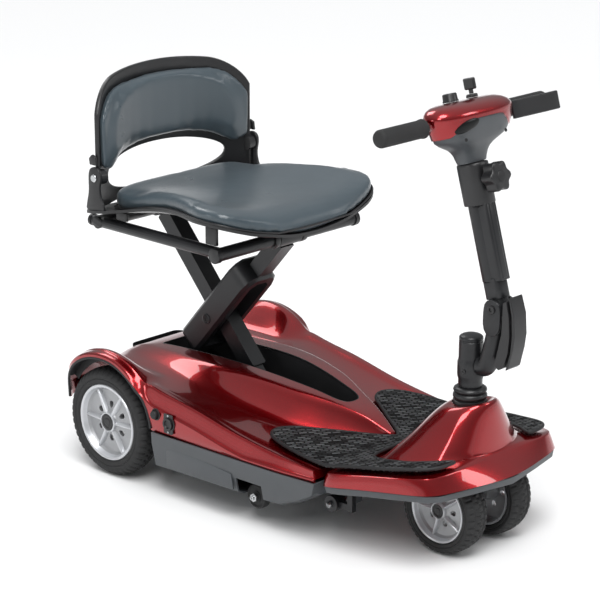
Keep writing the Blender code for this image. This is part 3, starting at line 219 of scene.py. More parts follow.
def skin(name, rings, mat, closed=False, cap=False, smooth=35):
    bm = bmesh.new()
    rows = [[bm.verts.new(p) for p in ring] for ring in rings]
    count = len(rings[0])
    for low, high in zip(rows, rows[1:]):
        for i in range(count if closed else count - 1):
            j = (i + 1) % count
            bm.faces.new((low[i], low[j], high[j], high[i]))
    if cap:
        bm.faces.new(rows[0][::-1])
        bm.faces.new(rows[-1])
    return add(name, bm, mat, smooth)


def lathe(name, profile, centre, axis, mat, steps=64, smooth=35, closed=False):
    """Turn (radius, height) points about an axis; closed joins the profile's ends."""
    turn = Vector(axis).to_track_quat("Z", "X").to_matrix()
    centre = Vector(centre)
    bm = bmesh.new()
    rows = []
    for k in range(steps):
        angle = 2 * PI * k / steps
        spin = Vector((math.cos(angle), math.sin(angle), 0))
        rows.append([bm.verts.new(centre + turn @ (spin * r + Vector((0, 0, h)))) for r, h in profile])
    count = len(profile)
    for k in range(steps):
        a, b = rows[k], rows[(k + 1) % steps]
        for i in range(count if closed else count - 1):
            j = (i + 1) % count
            bm.faces.new((a[i], a[j], b[j], b[i]))
    bmesh.ops.remove_doubles(bm, verts=bm.verts, dist=1e-6)
    return add(name, bm, mat, smooth)


def tube(name, points, radius, mat, sides=24):
    """Round bar along a path; radius may be one number or one per point."""
    points = [Vector(p) for p in points]
    sizes = radius if isinstance(radius, (list, tuple)) else [radius] * len(points)
    rings = []
    side = None
    for i, point in enumerate(points):
        ahead = (points[min(i + 1, len(points) - 1)] - points[max(i - 1, 0)]).normalized()
        if side is None:
            side = ahead.cross(Vector((0, 0, 1)) if abs(ahead.z) < 0.9 else Vector((1, 0, 0))).normalized()
        side = (side - ahead * side.dot(ahead)).normalized()
        up = ahead.cross(side)
        rings.append([point + (side * math.cos(2 * PI * k / sides) * sizes[i] + up
            * math.sin(2 * PI * k / sides) * sizes[i]) for k in range(sides)])
    return skin(name, rings, mat, closed=True, cap=True, smooth=50)


def smooth_path(points, steps=8):
    """Catmull-Rom curve through the points."""
    points = [Vector(p) for p in points]
    full = [points[0] * 2 - points[1], *points, points[-1] * 2 - points[-2]]
    out = []
    for i in range(1, len(full) - 2):
        a, b, c, d = full[i - 1:i + 3]
        for k in range(steps):
            t = k / steps
            out.append(0.5 * ((2 * b) + (c - a) * t + (2 * a - 5 * b + 4 * c - d) * t * t
                + (3 * b - a - 3 * c + d) * t ** 3))
    out.append(points[-1])
    return out


def chaikin(points, rounds=3, closed=False):
    """Corner cutting: a smooth curve that keeps its first and last points."""
    points = [Vector(p) for p in points]
    for _ in range(rounds):
        out = [] if closed else [points[0]]
        count = len(points)
        for i in range(count if closed else count - 1):
            a, b = points[i], points[(i + 1) % count]
            out += [a * 0.75 + b * 0.25, a * 0.25 + b * 0.75]
        if not closed:
            out.append(points[-1])
        points = out
    return points


def curve_of(table):
    """Smooth function through (position, value) pairs given in falling order."""
    xs = [p for p, _ in table][::-1]
    vs = [v for _, v in table][::-1]
    slopes = []
    for i in range(len(xs)):
        lo, hi = max(i - 1, 0), min(i + 1, len(xs) - 1)
        slopes.append((vs[hi] - vs[lo]) / (xs[hi] - xs[lo]))

    def at(x):
        if x <= xs[0]:
            return vs[0]
        if x >= xs[-1]:
            return vs[-1]
        i = max(k for k in range(len(xs)) if xs[k] <= x)
        width = xs[i + 1] - xs[i]
        t = (x - xs[i]) / width
        return ((2 * t ** 3 - 3 * t * t + 1) * vs[i] + (t ** 3 - 2 * t * t + t) * width * slopes[i]
            + (3 * t * t - 2 * t ** 3) * vs[i + 1] + (t ** 3 - t * t) * width * slopes[i + 1])
    return at


def step_between(x, low, high):
    t = min(max((x - low) / (high - low), 0), 1)
    return t * t * (3 - 2 * t)


def mirror_join(obj):
    modify(obj, "MIRROR", use_mirror_merge=True, merge_threshold=0.00008)
    return apply(obj)


def prism(name, outline, depth, matrix, mat):
    """Outline given a thickness about its own plane, then put in place by the matrix."""
    bm = bmesh.new()
    low, high = [[bm.verts.new((p[0], p[1], depth * half)) for p in outline] for half in (-0.5, 0.5)]
    count = len(outline)
    bm.faces.new(low[::-1])
    bm.faces.new(high)
    for i in range(count):
        j = (i + 1) % count
        bm.faces.new((low[i], low[j], high[j], high[i]))
    bmesh.ops.transform(bm, matrix=matrix, verts=bm.verts)
    return add(name, bm, mat)


def bar(name, radius, start, end, mat, sides=32):
    return tube(name, [start, end], radius, mat, sides)


def dome(radius, height, top, rows=6):
    """Profile of a rounded end from the middle out, ending at the given radius."""
    return [(radius * math.sin(PI / 2 * k / rows), top - height * (1 - math.cos(PI / 2 * k / rows)))
        for k in range(rows + 1)]


def polish(name, mat, width=0.0012, segments=2, angle=30):
    """Give a CAD node its finish and softened edges."""
    obj = NODES[name]
    obj.data.materials.clear()
    obj.data.materials.append(mat)
    obj.data.shade_smooth()
    modify(obj, "WELD", merge_threshold=0.00002)
    if width:
        modify(obj, "DECIMATE", decimate_type="DISSOLVE", angle_limit=math.radians(1.5))
        modify(obj, "BEVEL", width=width, segments=segments, limit_method="ANGLE",
            angle_limit=math.radians(angle))
    modify(obj, "WEIGHTED_NORMAL", keep_sharp=False)
    return obj


def place(obj, body, *nodes):
    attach(obj, body)
    if nodes:
        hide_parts(*nodes)
    return obj


def bolt(name, centre, axis, radius, height, body, mat=ZINC, hex_socket=True):
    """Cap-head bolt: turned head with a recess."""
    profile = [(0, height * 0.35), (radius * 0.45, height * 0.35), (radius * 0.52, height * 0.9),
        (radius * 0.85, height), (radius, height * 0.8), (radius, 0.0), (0, 0.0)]
    if not hex_socket:
        profile = [(0, height), (radius * 0.8, height), (radius, height * 0.8), (radius, 0), (0, 0)]
    return place(lathe(name, profile, centre, axis, mat, 24 if hex_socket else 6, 25), body)


def inflate(obj, cap):
    """Cloth-simulated fullness: remesh, blow up, keep each point within a distance of where it began."""
    modify(obj, "REMESH", mode="VOXEL", voxel_size=VOXEL)
    apply(obj)
    before = np.zeros(len(obj.data.vertices) * 3)
    obj.data.vertices.foreach_get("co", before)
    cloth = obj.modifiers.new("cloth", "CLOTH")
    for key, value in (("quality", 5), ("mass", 0.3), ("tension_stiffness", 25), ("bending_stiffness", 3),
            ("use_pressure", True), ("uniform_pressure_force", PRESSURE)):
        setattr(cloth.settings, key, value)
    cloth.settings.effector_weights.gravity = 0
    scene = bpy.context.scene
    for number in range(1, CLOTH_FRAMES + 1):
        scene.frame_set(number)
    graph = bpy.context.evaluated_depsgraph_get()
    after = np.zeros_like(before)
    obj.evaluated_get(graph).data.vertices.foreach_get("co", after)
    obj.modifiers.clear()
    scene.frame_set(1)
    move = (after - before).reshape(-1, 3)
    size = np.linalg.norm(move, axis=1, keepdims=True)
    move *= np.minimum(1, cap / np.maximum(size, 1e-9))
    obj.data.vertices.foreach_set("co", (before.reshape(-1, 3) + move).ravel())
    modify(obj, "SMOOTH", factor=0.5, iterations=3)
    modify(obj, "SUBSURF", levels=1, render_levels=1)
    return apply(obj, 0)


# ---------------------------------------------------------------- red rear cover
CROWN_Z = curve_of([(0.475, 0.15), (0.468, 0.165), (0.44, 0.196), (0.375, 0.214), (0.235, 0.224),
    (0.1, 0.225), (0.0, 0.215), (-0.08, 0.2), (-0.14, 0.184), (-0.193, 0.158)])
CROWN_X = curve_of([(0.475, 0.055), (0.3, 0.085), (0.15, 0.09), (0.0, 0.068), (-0.08, 0.04), (-0.14, 0.02),
    (-0.193, 0.004)])
FLANK_X = curve_of([(0.475, 0.11), (0.3, 0.135), (0.15, 0.145), (0.0, 0.115), (-0.08, 0.078), (-0.14, 0.044),
    (-0.193, 0.012)])
WELL_Z = curve_of([(0.475, 0.148), (0.468, 0.16), (0.44, 0.185), (0.375, 0.2), (0.235, 0.2), (0.1, 0.18),
    (0.0, 0.161), (-0.08, 0.149), (-0.193, 0.14)])
CREST_Z = curve_of([(0.26, 0.22), (0.235, 0.212), (0.19, 0.201), (0.1, 0.187), (0.0, 0.167), (-0.1, 0.1535),
    (-0.193, 0.145)])
CREST_X = curve_of([(0.475, 0.17), (0.44, 0.198), (0.375, 0.212), (0.235, 0.213), (-0.193, 0.206)])
SIDE_X = curve_of([(0.475, 0.184), (0.468, 0.2), (0.44, 0.225), (0.4, 0.2355), (0.3, 0.2365), (0.246, 0.2365),
    (0.228, 0.23), (0.19, 0.23), (-0.1, 0.224), (-0.193, 0.215)])


def fender(y):
    offset = min(abs(y - REAR_AXLE.y), 0.1396)
    return REAR_AXLE.z + math.sqrt(FENDER ** 2 - offset ** 2)


def rear_section(y, ceiling=None):
    crown, well = CROWN_Z(y), WELL_Z(y)
    wheel = step_between(y, 0.205, 0.262)
    crest = CREST_Z(y) * (1 - wheel) + max(fender(y), well + 0.002) * wheel
    inner, flank, side, top_x = CROWN_X(y), FLANK_X(y), SIDE_X(y), CREST_X(y)
    foot = top_x - 0.02 - 0.035 * wheel
    lip = crest - 0.034 + 0.026 * wheel
    lip = max(lip, 0.1285)
    points = [(0, crown), (inner * 0.5, crown), (inner * 0.92, crown - 0.0006),
        (inner + 0.002, crown - 0.0025), (inner + (flank - inner) * 0.25, crown - (crown - well) * 0.38),
        (inner + (flank - inner) * 0.62, crown - (crown - well) * 0.8), (flank, well + 0.0005),
        (flank + (foot - flank) * 0.5, well - 0.001), (foot, well + 0.0005),
        (foot + (top_x - foot) * 0.45, well + (crest - well) * 0.5), (top_x - 0.006, crest - 0.0012),
        (top_x + 0.003, crest), (top_x + 0.0065, crest - 0.0003), (top_x + 0.0085, crest - 0.0022),
        (side - 0.003, lip + 0.004), (side, lip), (side, lip), (side, lip - (lip - 0.1225) * 0.5),
        (side - 0.0015, 0.1265), (side - 0.0025, 0.1225)]
    return chaikin([(x, y, z if ceiling is None else min(z, ceiling)) for x, z in points], 2)


def build_rear_cover():
    stations = [0.4735, 0.4705, 0.466, 0.46, 0.452]
    y = 0.444
    while y > -0.17:
        stations.append(y)
        y -= 0.0095
    stations += [-0.176, -0.184, -0.189]
    rings = [rear_section(0.475, 0.1262)] + [rear_section(y) for y in stations]
    rings.append(rear_section(-0.1935, 0.15))
    rings.append(rear_section(-0.1955, 0.128))
    cover = mirror_join(skin("red_rear_body", rings, RED))
    modify(cover, "SOLIDIFY", thickness=COVER_WALL, offset=-1.0)
    apply(cover)
    boolean(cover, prism("cut", slot_outline(0.0), 0.2, AT((0, 0, 0.26)), None))
    for side in (-1, 1):
        boolean(cover, bar("cut", 0.1275, (side * 0.206, REAR_AXLE.y, REAR_AXLE.z),
            (side * 0.27, REAR_AXLE.y, REAR_AXLE.z), None, 96))
    boolean(cover, prism("cut", rounded_box(*GRAB), 0.06, AT((0, 0.424, 0.205)), None))
    for y, z, radius in PORTS:
        boolean(cover, bar("cut", radius, (-0.2, y, z), (-0.27, y, z), None, 40))
    place(apply(cover, 32), "chassis", "rear_cover")
    for side, hand in SIDES:
        path = []
        for k in range(49):
            angle = math.radians(6 + k * 166 / 48)
            y = REAR_AXLE.y - 0.1282 * math.cos(angle)
            path.append((side * min(0.2355, SIDE_X(y) - 0.0006), y, REAR_AXLE.z + 0.1282 * math.sin(angle)))
        path = [p for p in path if p[2] > 0.121]
        place(tube("arch_lip_" + hand, path, 0.0026, DARK, 10), "chassis")
        rings = []
        for x, reach in ((0.2325, ARCH), (0.207, ARCH), (0.2065, 0.115)):
            ring = []
            for a in range(8, 152, 3):
                y = REAR_AXLE.y - reach * math.cos(math.radians(a))
                ring.append((side * min(x, SIDE_X(y) - 0.003), y, REAR_AXLE.z + reach
                    * math.sin(math.radians(a))))
            rings.append(ring)
        liner = skin("arch_liner_" + hand, rings, DARK)
        modify(liner, "SOLIDIFY", thickness=0.0012, offset=0.0)
        place(apply(liner), "chassis")


def slot_outline(grow):
    half = [(0.0, 0.368), (0.04, 0.368), (0.05, 0.366), (0.052, 0.356), (0.052, 0.24), (0.052, 0.1),
        (0.042, 0.02), (0.031, -0.04), (0.027, -0.072), (0.018, -0.092), (0.0, -0.0955)]
    points = [(max(x + grow, 0) if x > 0 else 0, y + (grow if y > 0.3 else -grow if y < -0.07 else 0))
        for x, y in half]
    points += [(-x, y) for x, y in reversed(points) if x > 0]
    return chaikin(points, 2, closed=True)


def rounded_box(wide, deep, radius, steps=6):
    points = []
    for cx, cy, first in ((1, 1, 0), (-1, 1, 90), (-1, -1, 180), (1, -1, 270)):
        for i in range(steps + 1):
            angle = math.radians(first + 90 * i / steps)
            points.append(Vector((cx * (wide / 2 - radius) + radius * math.cos(angle),
                cy * (deep / 2 - radius) + radius * math.sin(angle), 0)))
    return points


def build_slot_liner():
    """Black tub under the slot, with a ribbed track floor and a rubber edge round the opening."""
    outline = slot_outline(-0.0012)
    rings = []
    for level, pull in ((0.0, 1.0), (0.35, 0.995), (0.8, 0.985), (0.97, 0.975), (1.0, 0.93)):
        ring = []
        for p in outline:
            top = CROWN_Z(p.y) - 0.0035
            ring.append((p.x * pull, p.y, top + (0.1522 - top) * level))
        rings.append(ring)
    tub = skin("slot_tub", rings, DARK, closed=True)
    bm = bmesh.new()
    bm.from_mesh(tub.data)
    loop = [e for e in bm.edges if e.is_boundary and all(v.co.z < 0.156 for v in e.verts)]
    bmesh.ops.contextual_create(bm, geom=loop)
    bm.to_mesh(tub.data)
    bm.free()
    modify(tub, "SOLIDIFY", thickness=0.0015, offset=1.0)
    place(apply(tub), "chassis", "slot_liner")
    for side in (-1, 1):
        rail = prism("slot_track", [(side * 0.0215, 0.3), (side * 0.0255, 0.3), (side * 0.0255, 0.02),
            (side * 0.0215, 0.02)], 0.0045, AT((0, 0, 0.1548)), SATIN)
        place(round_edges(rail, 0.0008), "chassis")
    edge = [(p.x, p.y, CROWN_Z(p.y) - 0.0012) for p in slot_outline(-0.0004)]
    place(tube("slot_edge", edge + [edge[0]], 0.0014, SATIN, 8), "chassis")


# ---------------------------------------------------------------- front section
def build_front_cover():
    rings = [
        [(0, -0.475, 0.15), (0.09, -0.456, 0.15), (0.158, -0.44, 0.15), (0.178, -0.42, 0.148),
         (0.19, -0.37, 0.143), (0.203, -0.3, 0.135), (0.214, -0.24, 0.126), (0.212, -0.212, 0.121),
         (0.195, -0.202, 0.12), (0.09, -0.202, 0.12), (0, -0.202, 0.12)],
        [(0, -0.452, 0.167), (0.09, -0.444, 0.167), (0.154, -0.434, 0.166), (0.1755, -0.417, 0.164),
         (0.1885, -0.368, 0.158), (0.201, -0.3, 0.15), (0.2115, -0.241, 0.14), (0.209, -0.214, 0.135),
         (0.193, -0.204, 0.133), (0.09, -0.204, 0.133), (0, -0.204, 0.133)],
        [(0, -0.434, 0.18), (0.09, -0.434, 0.18), (0.15, -0.43, 0.178), (0.172, -0.414, 0.176),
         (0.186, -0.366, 0.17), (0.198, -0.3, 0.161), (0.208, -0.242, 0.15), (0.205, -0.216, 0.145),
         (0.19, -0.207, 0.142), (0.09, -0.207, 0.142), (0, -0.207, 0.142)],
        [(0, -0.431, 0.183), (0.085, -0.429, 0.183), (0.138, -0.424, 0.18), (0.156, -0.408, 0.177),
         (0.17, -0.362, 0.17), (0.182, -0.3, 0.16), (0.19, -0.246, 0.151), (0.186, -0.224, 0.147),
         (0.17, -0.213, 0.145), (0.09, -0.212, 0.145), (0, -0.212, 0.145)],
        [(0, -0.43, 0.186), (0.046, -0.426, 0.186), (0.08, -0.411, 0.185), (0.108, -0.388, 0.181),
         (0.126, -0.351, 0.174), (0.134, -0.31, 0.168), (0.13, -0.278, 0.163), (0.112, -0.262, 0.16),
         (0.08, -0.256, 0.159), (0.04, -0.253, 0.159), (0, -0.252, 0.159)],
        [(0, -0.424, 0.232), (0.03, -0.421, 0.231), (0.055, -0.41, 0.228), (0.074, -0.39, 0.224),
         (0.083, -0.362, 0.22), (0.085, -0.332, 0.214), (0.08, -0.308, 0.208), (0.066, -0.296, 0.204),
         (0.046, -0.291, 0.203), (0.022, -0.289, 0.203), (0, -0.288, 0.203)],
        [(0, -0.416, 0.284), (0.016, -0.414, 0.283), (0.032, -0.405, 0.28), (0.043, -0.39, 0.274),
         (0.047, -0.371, 0.268), (0.047, -0.352, 0.262), (0.043, -0.336, 0.257), (0.034, -0.325, 0.254),
         (0.022, -0.319, 0.252), (0.01, -0.317, 0.251), (0, -0.316, 0.251)],
    ]
    rim = [(0.0325 * math.sin(PI * i / 10), COLUMN_Y - 0.0325 * math.cos(PI * i / 10),
        0.262) for i in range(11)]
    cover = mirror_join(skin("red_front_body", rings + [rim], RED))
    bm = bmesh.new()
    bm.from_mesh(cover.data)
    crease = bm.edges.layers.float.new("crease_edge")
    levels, corners = {}, set()

    def key(point):
        return tuple(round(c, 4) for c in point)
    for index, ring in enumerate(rings):
        for number, (x, y, z) in enumerate(ring):
            for sign in (-1, 1):
                levels[key((sign * x, y, z))] = index
                if index >= 4 and number in (3, 7):
                    corners.add(key((sign * x, y, z)))
    for edge in bm.edges:
        ends = [key(v.co) for v in edge.verts]
        rows = [levels.get(end) for end in ends]
        if rows[0] is not None and rows[0] == rows[1]:
            edge[crease] = {0: 1.0, 2: 0.8, 3: 0.5, 4: 0.6}.get(rows[0], 0.0)
        elif None not in rows and min(rows) >= 4 and corners.intersection(ends):
            edge[crease] = 0.75
    bm.to_mesh(cover.data)
    bm.free()
    modify(cover, "SUBSURF", levels=3, render_levels=3)
    modify(cover, "SOLIDIFY", thickness=COVER_WALL, offset=-1.0)
    place(apply(cover, 40), "chassis", "front_cover")


def build_mat():
    half = [(0.0, -0.2015), (0.018, -0.185), (0.05, -0.135), (0.09, -0.078), (0.112, -0.045), (0.14, -0.03),
        (0.166, -0.04), (0.184, -0.075), (0.196, -0.14), (0.201, -0.215), (0.195, -0.28), (0.183, -0.345),
        (0.166, -0.4), (0.148, -0.418), (0.124, -0.4245), (0.1, -0.4225), (0.106, -0.41), (0.124, -0.385),
        (0.1375, -0.35), (0.143, -0.308), (0.139, -0.268), (0.12, -0.25), (0.08, -0.2445), (0.0, -0.2405)]
    height = curve_of([(-0.03, 0.166), (-0.1, 0.163), (-0.19, 0.1585), (-0.215, 0.1595), (-0.2405, 0.165),
        (-0.268, 0.1705), (-0.308, 0.177), (-0.35, 0.183), (-0.385, 0.189), (-0.4245, 0.1945)])
    path = chaikin(half, 2)
    outline = [(p.x, p.y) for p in path] + [(-p.x, p.y) for p in reversed(path) if p.x > 1e-5]
    mat = prism("ribbed_mat", outline, 0.0062, Matrix.Identity(4), CARPET)
    round_edges(mat, 0.0018, 2, 60)
    bm = bmesh.new()
    bm.from_mesh(mat.data)
    for k in range(32):
        level = -0.034 - k * 0.012
        bmesh.ops.bisect_plane(bm, geom=bm.verts[:] + bm.edges[:] + bm.faces[:], plane_co=(0, level, 0),
            plane_no=(0, 1, 0))
    for vert in bm.verts:
        vert.co.z += height(vert.co.y) - 0.004
    bm.to_mesh(mat.data)
    bm.free()
    place(mat, "chassis", "floor_mat")
    edge = [(p[0] * 0.992, p[1], height(p[1]) - 0.003) for p in outline]
    hem = tube("mat_hem", edge + [edge[0]], 0.003, DARK, 8)
    place(hem, "chassis")


# ---------------------------------------------------------------- wheels
def build_tyre(hand, end, side, axle, radius, rim, outer, inner, blocks):
    """Solid tyre with staggered tread blocks and a grooved sidewall."""
    mid, half = (outer + inner) / 2, (outer - inner) / 2
    wall = radius - rim
    across = [(rim + 0.0005, half - 0.0035), (rim + wall * 0.12, half - 0.0008),
        (rim + wall * 0.3, half - 0.0006), (rim + wall * 0.36, half - 0.0016),
        (rim + wall * 0.42, half - 0.0004), (rim + wall * 0.6, half), (rim + wall * 0.74, half - 0.0015),
        (rim + wall * 0.84, half - 0.0045)]
    shoulder = [(radius - 0.0022, half - 0.0085), (radius - 0.0009, half - 0.0125),
        (radius - 0.0006, half * 0.44), (radius - 0.0001, half * 0.4), (radius, half * 0.22),
        (radius, half * 0.04)]
    upper = across + shoulder
    profile = upper + [(r, -h) for r, h in reversed(upper)]
    steps = blocks * 4
    centre = Vector((side * mid, axle.y, axle.z))
    bm = bmesh.new()
    rows = []
    for k in range(steps):
        angle = 2 * PI * k / steps
        ring = []
        for i, (r, h) in enumerate(profile):
            tread = len(across) - 2 <= i < len(profile) - len(across) + 2
            shift = 2 if i >= len(upper) else 0
            middle = abs(h) < half * 0.42
            phase = (k + shift + (2 if middle else 0)) % 4
            low = 0.0024 if tread and phase == 0 else 0.0
            if tread and abs(abs(h) - half * 0.42) < half * 0.03:
                low = 0.0022
            ring.append(bm.verts.new(centre + Vector((side * h, (r - low) * math.cos(angle),
                (r - low) * math.sin(angle)))))
        rows.append(ring)
    for k in range(steps):
        a, b = rows[k], rows[(k + 1) % steps]
        for i in range(len(profile)):
            j = (i + 1) % len(profile)
            bm.faces.new((a[i], a[j], b[j], b[i]))
    place(add(f"{end}_tyre_piece_{hand}", bm, TYRE, 28), f"{end}_wheel_{hand}", f"{end}_tyre_{hand}")


def build_rim(hand, end, side, axle, rim, outer, inner, spokes, shaft):
    """Cast wheel: dished web with raised spokes, small windows by the hub, and a separate cap."""
    mid, half = (outer + inner) / 2, (outer - inner) / 2 - 0.002
    body = f"{end}_wheel_{hand}"
    centre = Vector((side * mid, axle.y, axle.z))
    face = half - 0.0115
    profile = [(0, half - 0.006), (rim * 0.22, half - 0.006), (rim * 0.255, half - 0.0068),
        (rim * 0.275, half - 0.0095), (rim * 0.34, face - 0.001), (rim * 0.6, face - 0.0036),
        (rim * 0.82, face - 0.003), (rim * 0.88, face + 0.0015), (rim * 0.905, half - 0.003),
        (rim * 0.925, half - 0.0006), (rim * 0.955, half + 0.0004), (rim * 0.985, half), (rim, half - 0.0015),
        (rim, half - 0.004), (rim * 0.97, half - 0.007), (rim * 0.97, -half + 0.006), (rim, -half + 0.003),
        (rim, -half), (rim * 0.94, -half), (rim * 0.9, face - 0.011), (rim * 0.3, face - 0.009),
        (rim * 0.24, -half), (0.0098, -half), (0.0098, -half * 0.9)]
    web = lathe(f"rim_{end}_{hand}", profile + [(0, -half * 0.9)], centre, (side, 0, 0), SHADE_PAINTED_DISH, 96, 30)
    web.data.materials.append(SILVER)
    # Painted shade: the dished web keeps the darker lacquer, and only the outer rim lip gets the bright
    # silver.
    for face_part in web.data.polygons:
        reach = math.hypot(face_part.center.y - axle.y, face_part.center.z - axle.z)
        face_part.material_index = 1 if reach > rim * 0.87 else 0
    for k in range(spokes):
        angle = 2 * PI * (k + 0.5) / spokes + 0.1
        spread = PI / spokes
        near, far = rim * 0.36, rim * 0.55
        shape = [(near, -0.3), (rim * 0.47, -0.46), (far, -0.34), (far * 0.97, 0.16), (near, 0.1)]
        outline = [(axle.y + r * math.cos(angle + a * spread), axle.z + r * math.sin(angle + a * spread))
            for r, a in shape]
        boolean(web, prism("cut", chaikin(outline, 2, closed=True), 0.05, AT((side * mid, 0, 0)) @ SIDEWAYS,
            None))
    place(apply(web, 30), body, f"{end}_rim_{hand}")
    for k in range(spokes):
        angle = 2 * PI * k / spokes
        ahead = Vector((0, math.cos(angle), math.sin(angle)))
        across = Vector((0, -math.sin(angle), math.cos(angle)))
        out = Vector((side, 0, 0))
        rings = []
        for t in (0.0, 0.15, 0.4, 0.7, 0.92, 1.0):
            reach = rim * (0.25 + 0.655 * t)
            lift = face - 0.001 + (0.0078 - 0.003 * t if t < 0.95 else 0.003)
            wide = rim * (0.056 - 0.022 * t)
            low = face - 0.0055
            ring = []
            for u, v in ((-1.7, 0), (-1.1, 0.55), (-0.55, 0.93), (0, 1), (0.55, 0.93), (1.1, 0.55), (1.7, 0)):
                ring.append(centre + ahead * reach + across * (u * wide) + out * (low + (lift - low) * v))
            rings.append(ring)
        spoke = skin("spoke", rings, SILVER, closed=True, cap=True, smooth=50)
        place(spoke, body)
    cap = lathe(f"hub_cap_{end}_{hand}", [(0, half - 0.0022), (rim * 0.08, half - 0.0022),
        (rim * 0.1, half - 0.0034), (rim * 0.14, half - 0.0034), (rim * 0.16, half - 0.0024),
        (rim * 0.2, half - 0.0028), (rim * 0.215, half - 0.005), (0, half - 0.005)], centre, (side, 0, 0),
        SATIN, 48, 30)
    place(cap, body)
    ring = lathe(f"hub_ring_{end}_{hand}", [(rim * 0.218, half - 0.0062), (rim * 0.222, half - 0.0022),
        (rim * 0.24, half - 0.0016), (rim * 0.262, half - 0.003), (rim * 0.268, half - 0.007)], centre,
        (side, 0, 0), SILVER, 48, 40, closed=True)
    place(ring, body)
    if shaft:
        place(bar("half_shaft_" + hand, 0.0095, (side * (mid - half), axle.y, axle.z),
            (side * 0.1206, axle.y, axle.z), ZINC, 24), body)


def build_wheels():
    for side, hand in SIDES:
        build_tyre(hand, "rear", side, REAR_AXLE, *REAR_WHEEL, 46)
        build_tyre(hand, "front", side, FRONT_AXLE, *FRONT_WHEEL, 38)
        build_rim(hand, "rear", side, REAR_AXLE, *REAR_WHEEL[1:], 6, True)
        build_rim(hand, "front", side, FRONT_AXLE, *FRONT_WHEEL[1:], 5, False)
        centre = (side * 0.194, -0.041, 0.0515)
        roller = lathe("roller_" + hand, [(0.0055, 0.0088), (0.0105, 0.0088), (0.0112, 0.007),
            (0.0175, 0.0066), (0.0195, 0.0086), (0.022, 0.0078), (0.0235, 0.005), (0.0235, -0.005),
            (0.022, -0.008), (0.0055, -0.0088)], centre, (side, 0, 0), TYRE, 48, 30, closed=True)
        place(roller, "trolley_wheel_" + hand, "trolley_wheel_" + hand)
        bolt("roller_nut_" + hand, (side * 0.206, -0.041, 0.0515), (side, 0, 0), 0.0085, 0.005, "chassis",
            hex_socket=False)
        bolt("roller_stud_" + hand, (side * 0.211, -0.041, 0.0515), (side, 0, 0), 0.0045, 0.0035, "chassis")
        bolt("front_nut_" + hand, (side * 0.066, FRONT_AXLE.y, FRONT_AXLE.z), (side, 0, 0), 0.0075, 0.0035,
            "steering", hex_socket=False)


# ---------------------------------------------------------------- steering column and tiller
def on_tiller(x, forward, along):
    return TILLER @ Vector((x, -forward, along))


def build_column():
    rows = [(0.022, 0.2915), (0.0258, 0.2908), (0.029, 0.2885), (0.0298, 0.2855), (0.0285, 0.2828),
        (0.0262, 0.2812), (0.0285, 0.2798), (0.0302, 0.277), (0.0303, 0.2735), (0.029, 0.2708),
        (0.0275, 0.269), (0.03, 0.2675), (0.0303, 0.26), (0.03, 0.2568), (0.0176, 0.2568), (0.0176, 0.2915)]
    place(lathe("bellows", rows, (0, COLUMN_Y, 0), (0, 0, 1), SATIN, 64, 40, closed=True), "chassis",
        "column_bellows")
    rows = dome(0.0212, 0.0075, 0.388, 7) + [(0.0214, 0.3775), (0.0207, 0.3765), (0.0207, 0.375),
        (0.0214, 0.374), (0.0214, 0.346), (0.0219, 0.341), (0.0232, 0.337), (0.0235, 0.331), (0.0235, 0.315),
        (0.023, 0.31), (0.0214, 0.305), (0.0214, 0.298), (0.0205, 0.2924), (0, 0.2924)]
    place(lathe("stub", rows, (0, COLUMN_Y, 0), (0, 0, 1), COAT, 64, 30), "steering", "column_stub")
    route = smooth_path([(0, -0.39, 0.333), (0, -0.4, 0.3345), (0, -0.407, 0.343), (0, -0.413, 0.359),
        (0, -0.419, 0.38), (0, -0.424, 0.402), (0, -0.4285, 0.423)], 6)
    arm = tube("arm", route, 0.0176, COAT, 32)
    bridge = prism("bridge", rounded_box(0.0415, 0.034, 0.008), 0.0165, AT((0, -0.429, 0.4175)), COAT)
    round_edges(bridge, 0.0015)
    ears = [(-0.446, 0.4), (-0.4105, 0.4), (-0.4105, 0.45), (-0.418, 0.462), (-0.43, 0.466), (-0.442, 0.462),
        (-0.4485, 0.45)]
    place(arm, "steering", "curved_arm")
    place(bridge, "steering")
    outline = chaikin(ears, 2, closed=True)
    for side in (-1, 1):
        ear = prism("arm_ear", outline, 0.006, AT((side * 0.0195, 0, 0)) @ SIDEWAYS, COAT)
        place(round_edges(ear, 0.001), "steering")
        bolt("fold_bolt", (side * 0.0225, TILLER_PIVOT.y, TILLER_PIVOT.z), (side, 0, 0), 0.0075, 0.0035,
            "steering", SATIN)
    bolt("arm_screw", (-0.0232, -0.372, 0.3235), (-1, 0, 0), 0.004, 0.0016, "steering", SATIN)


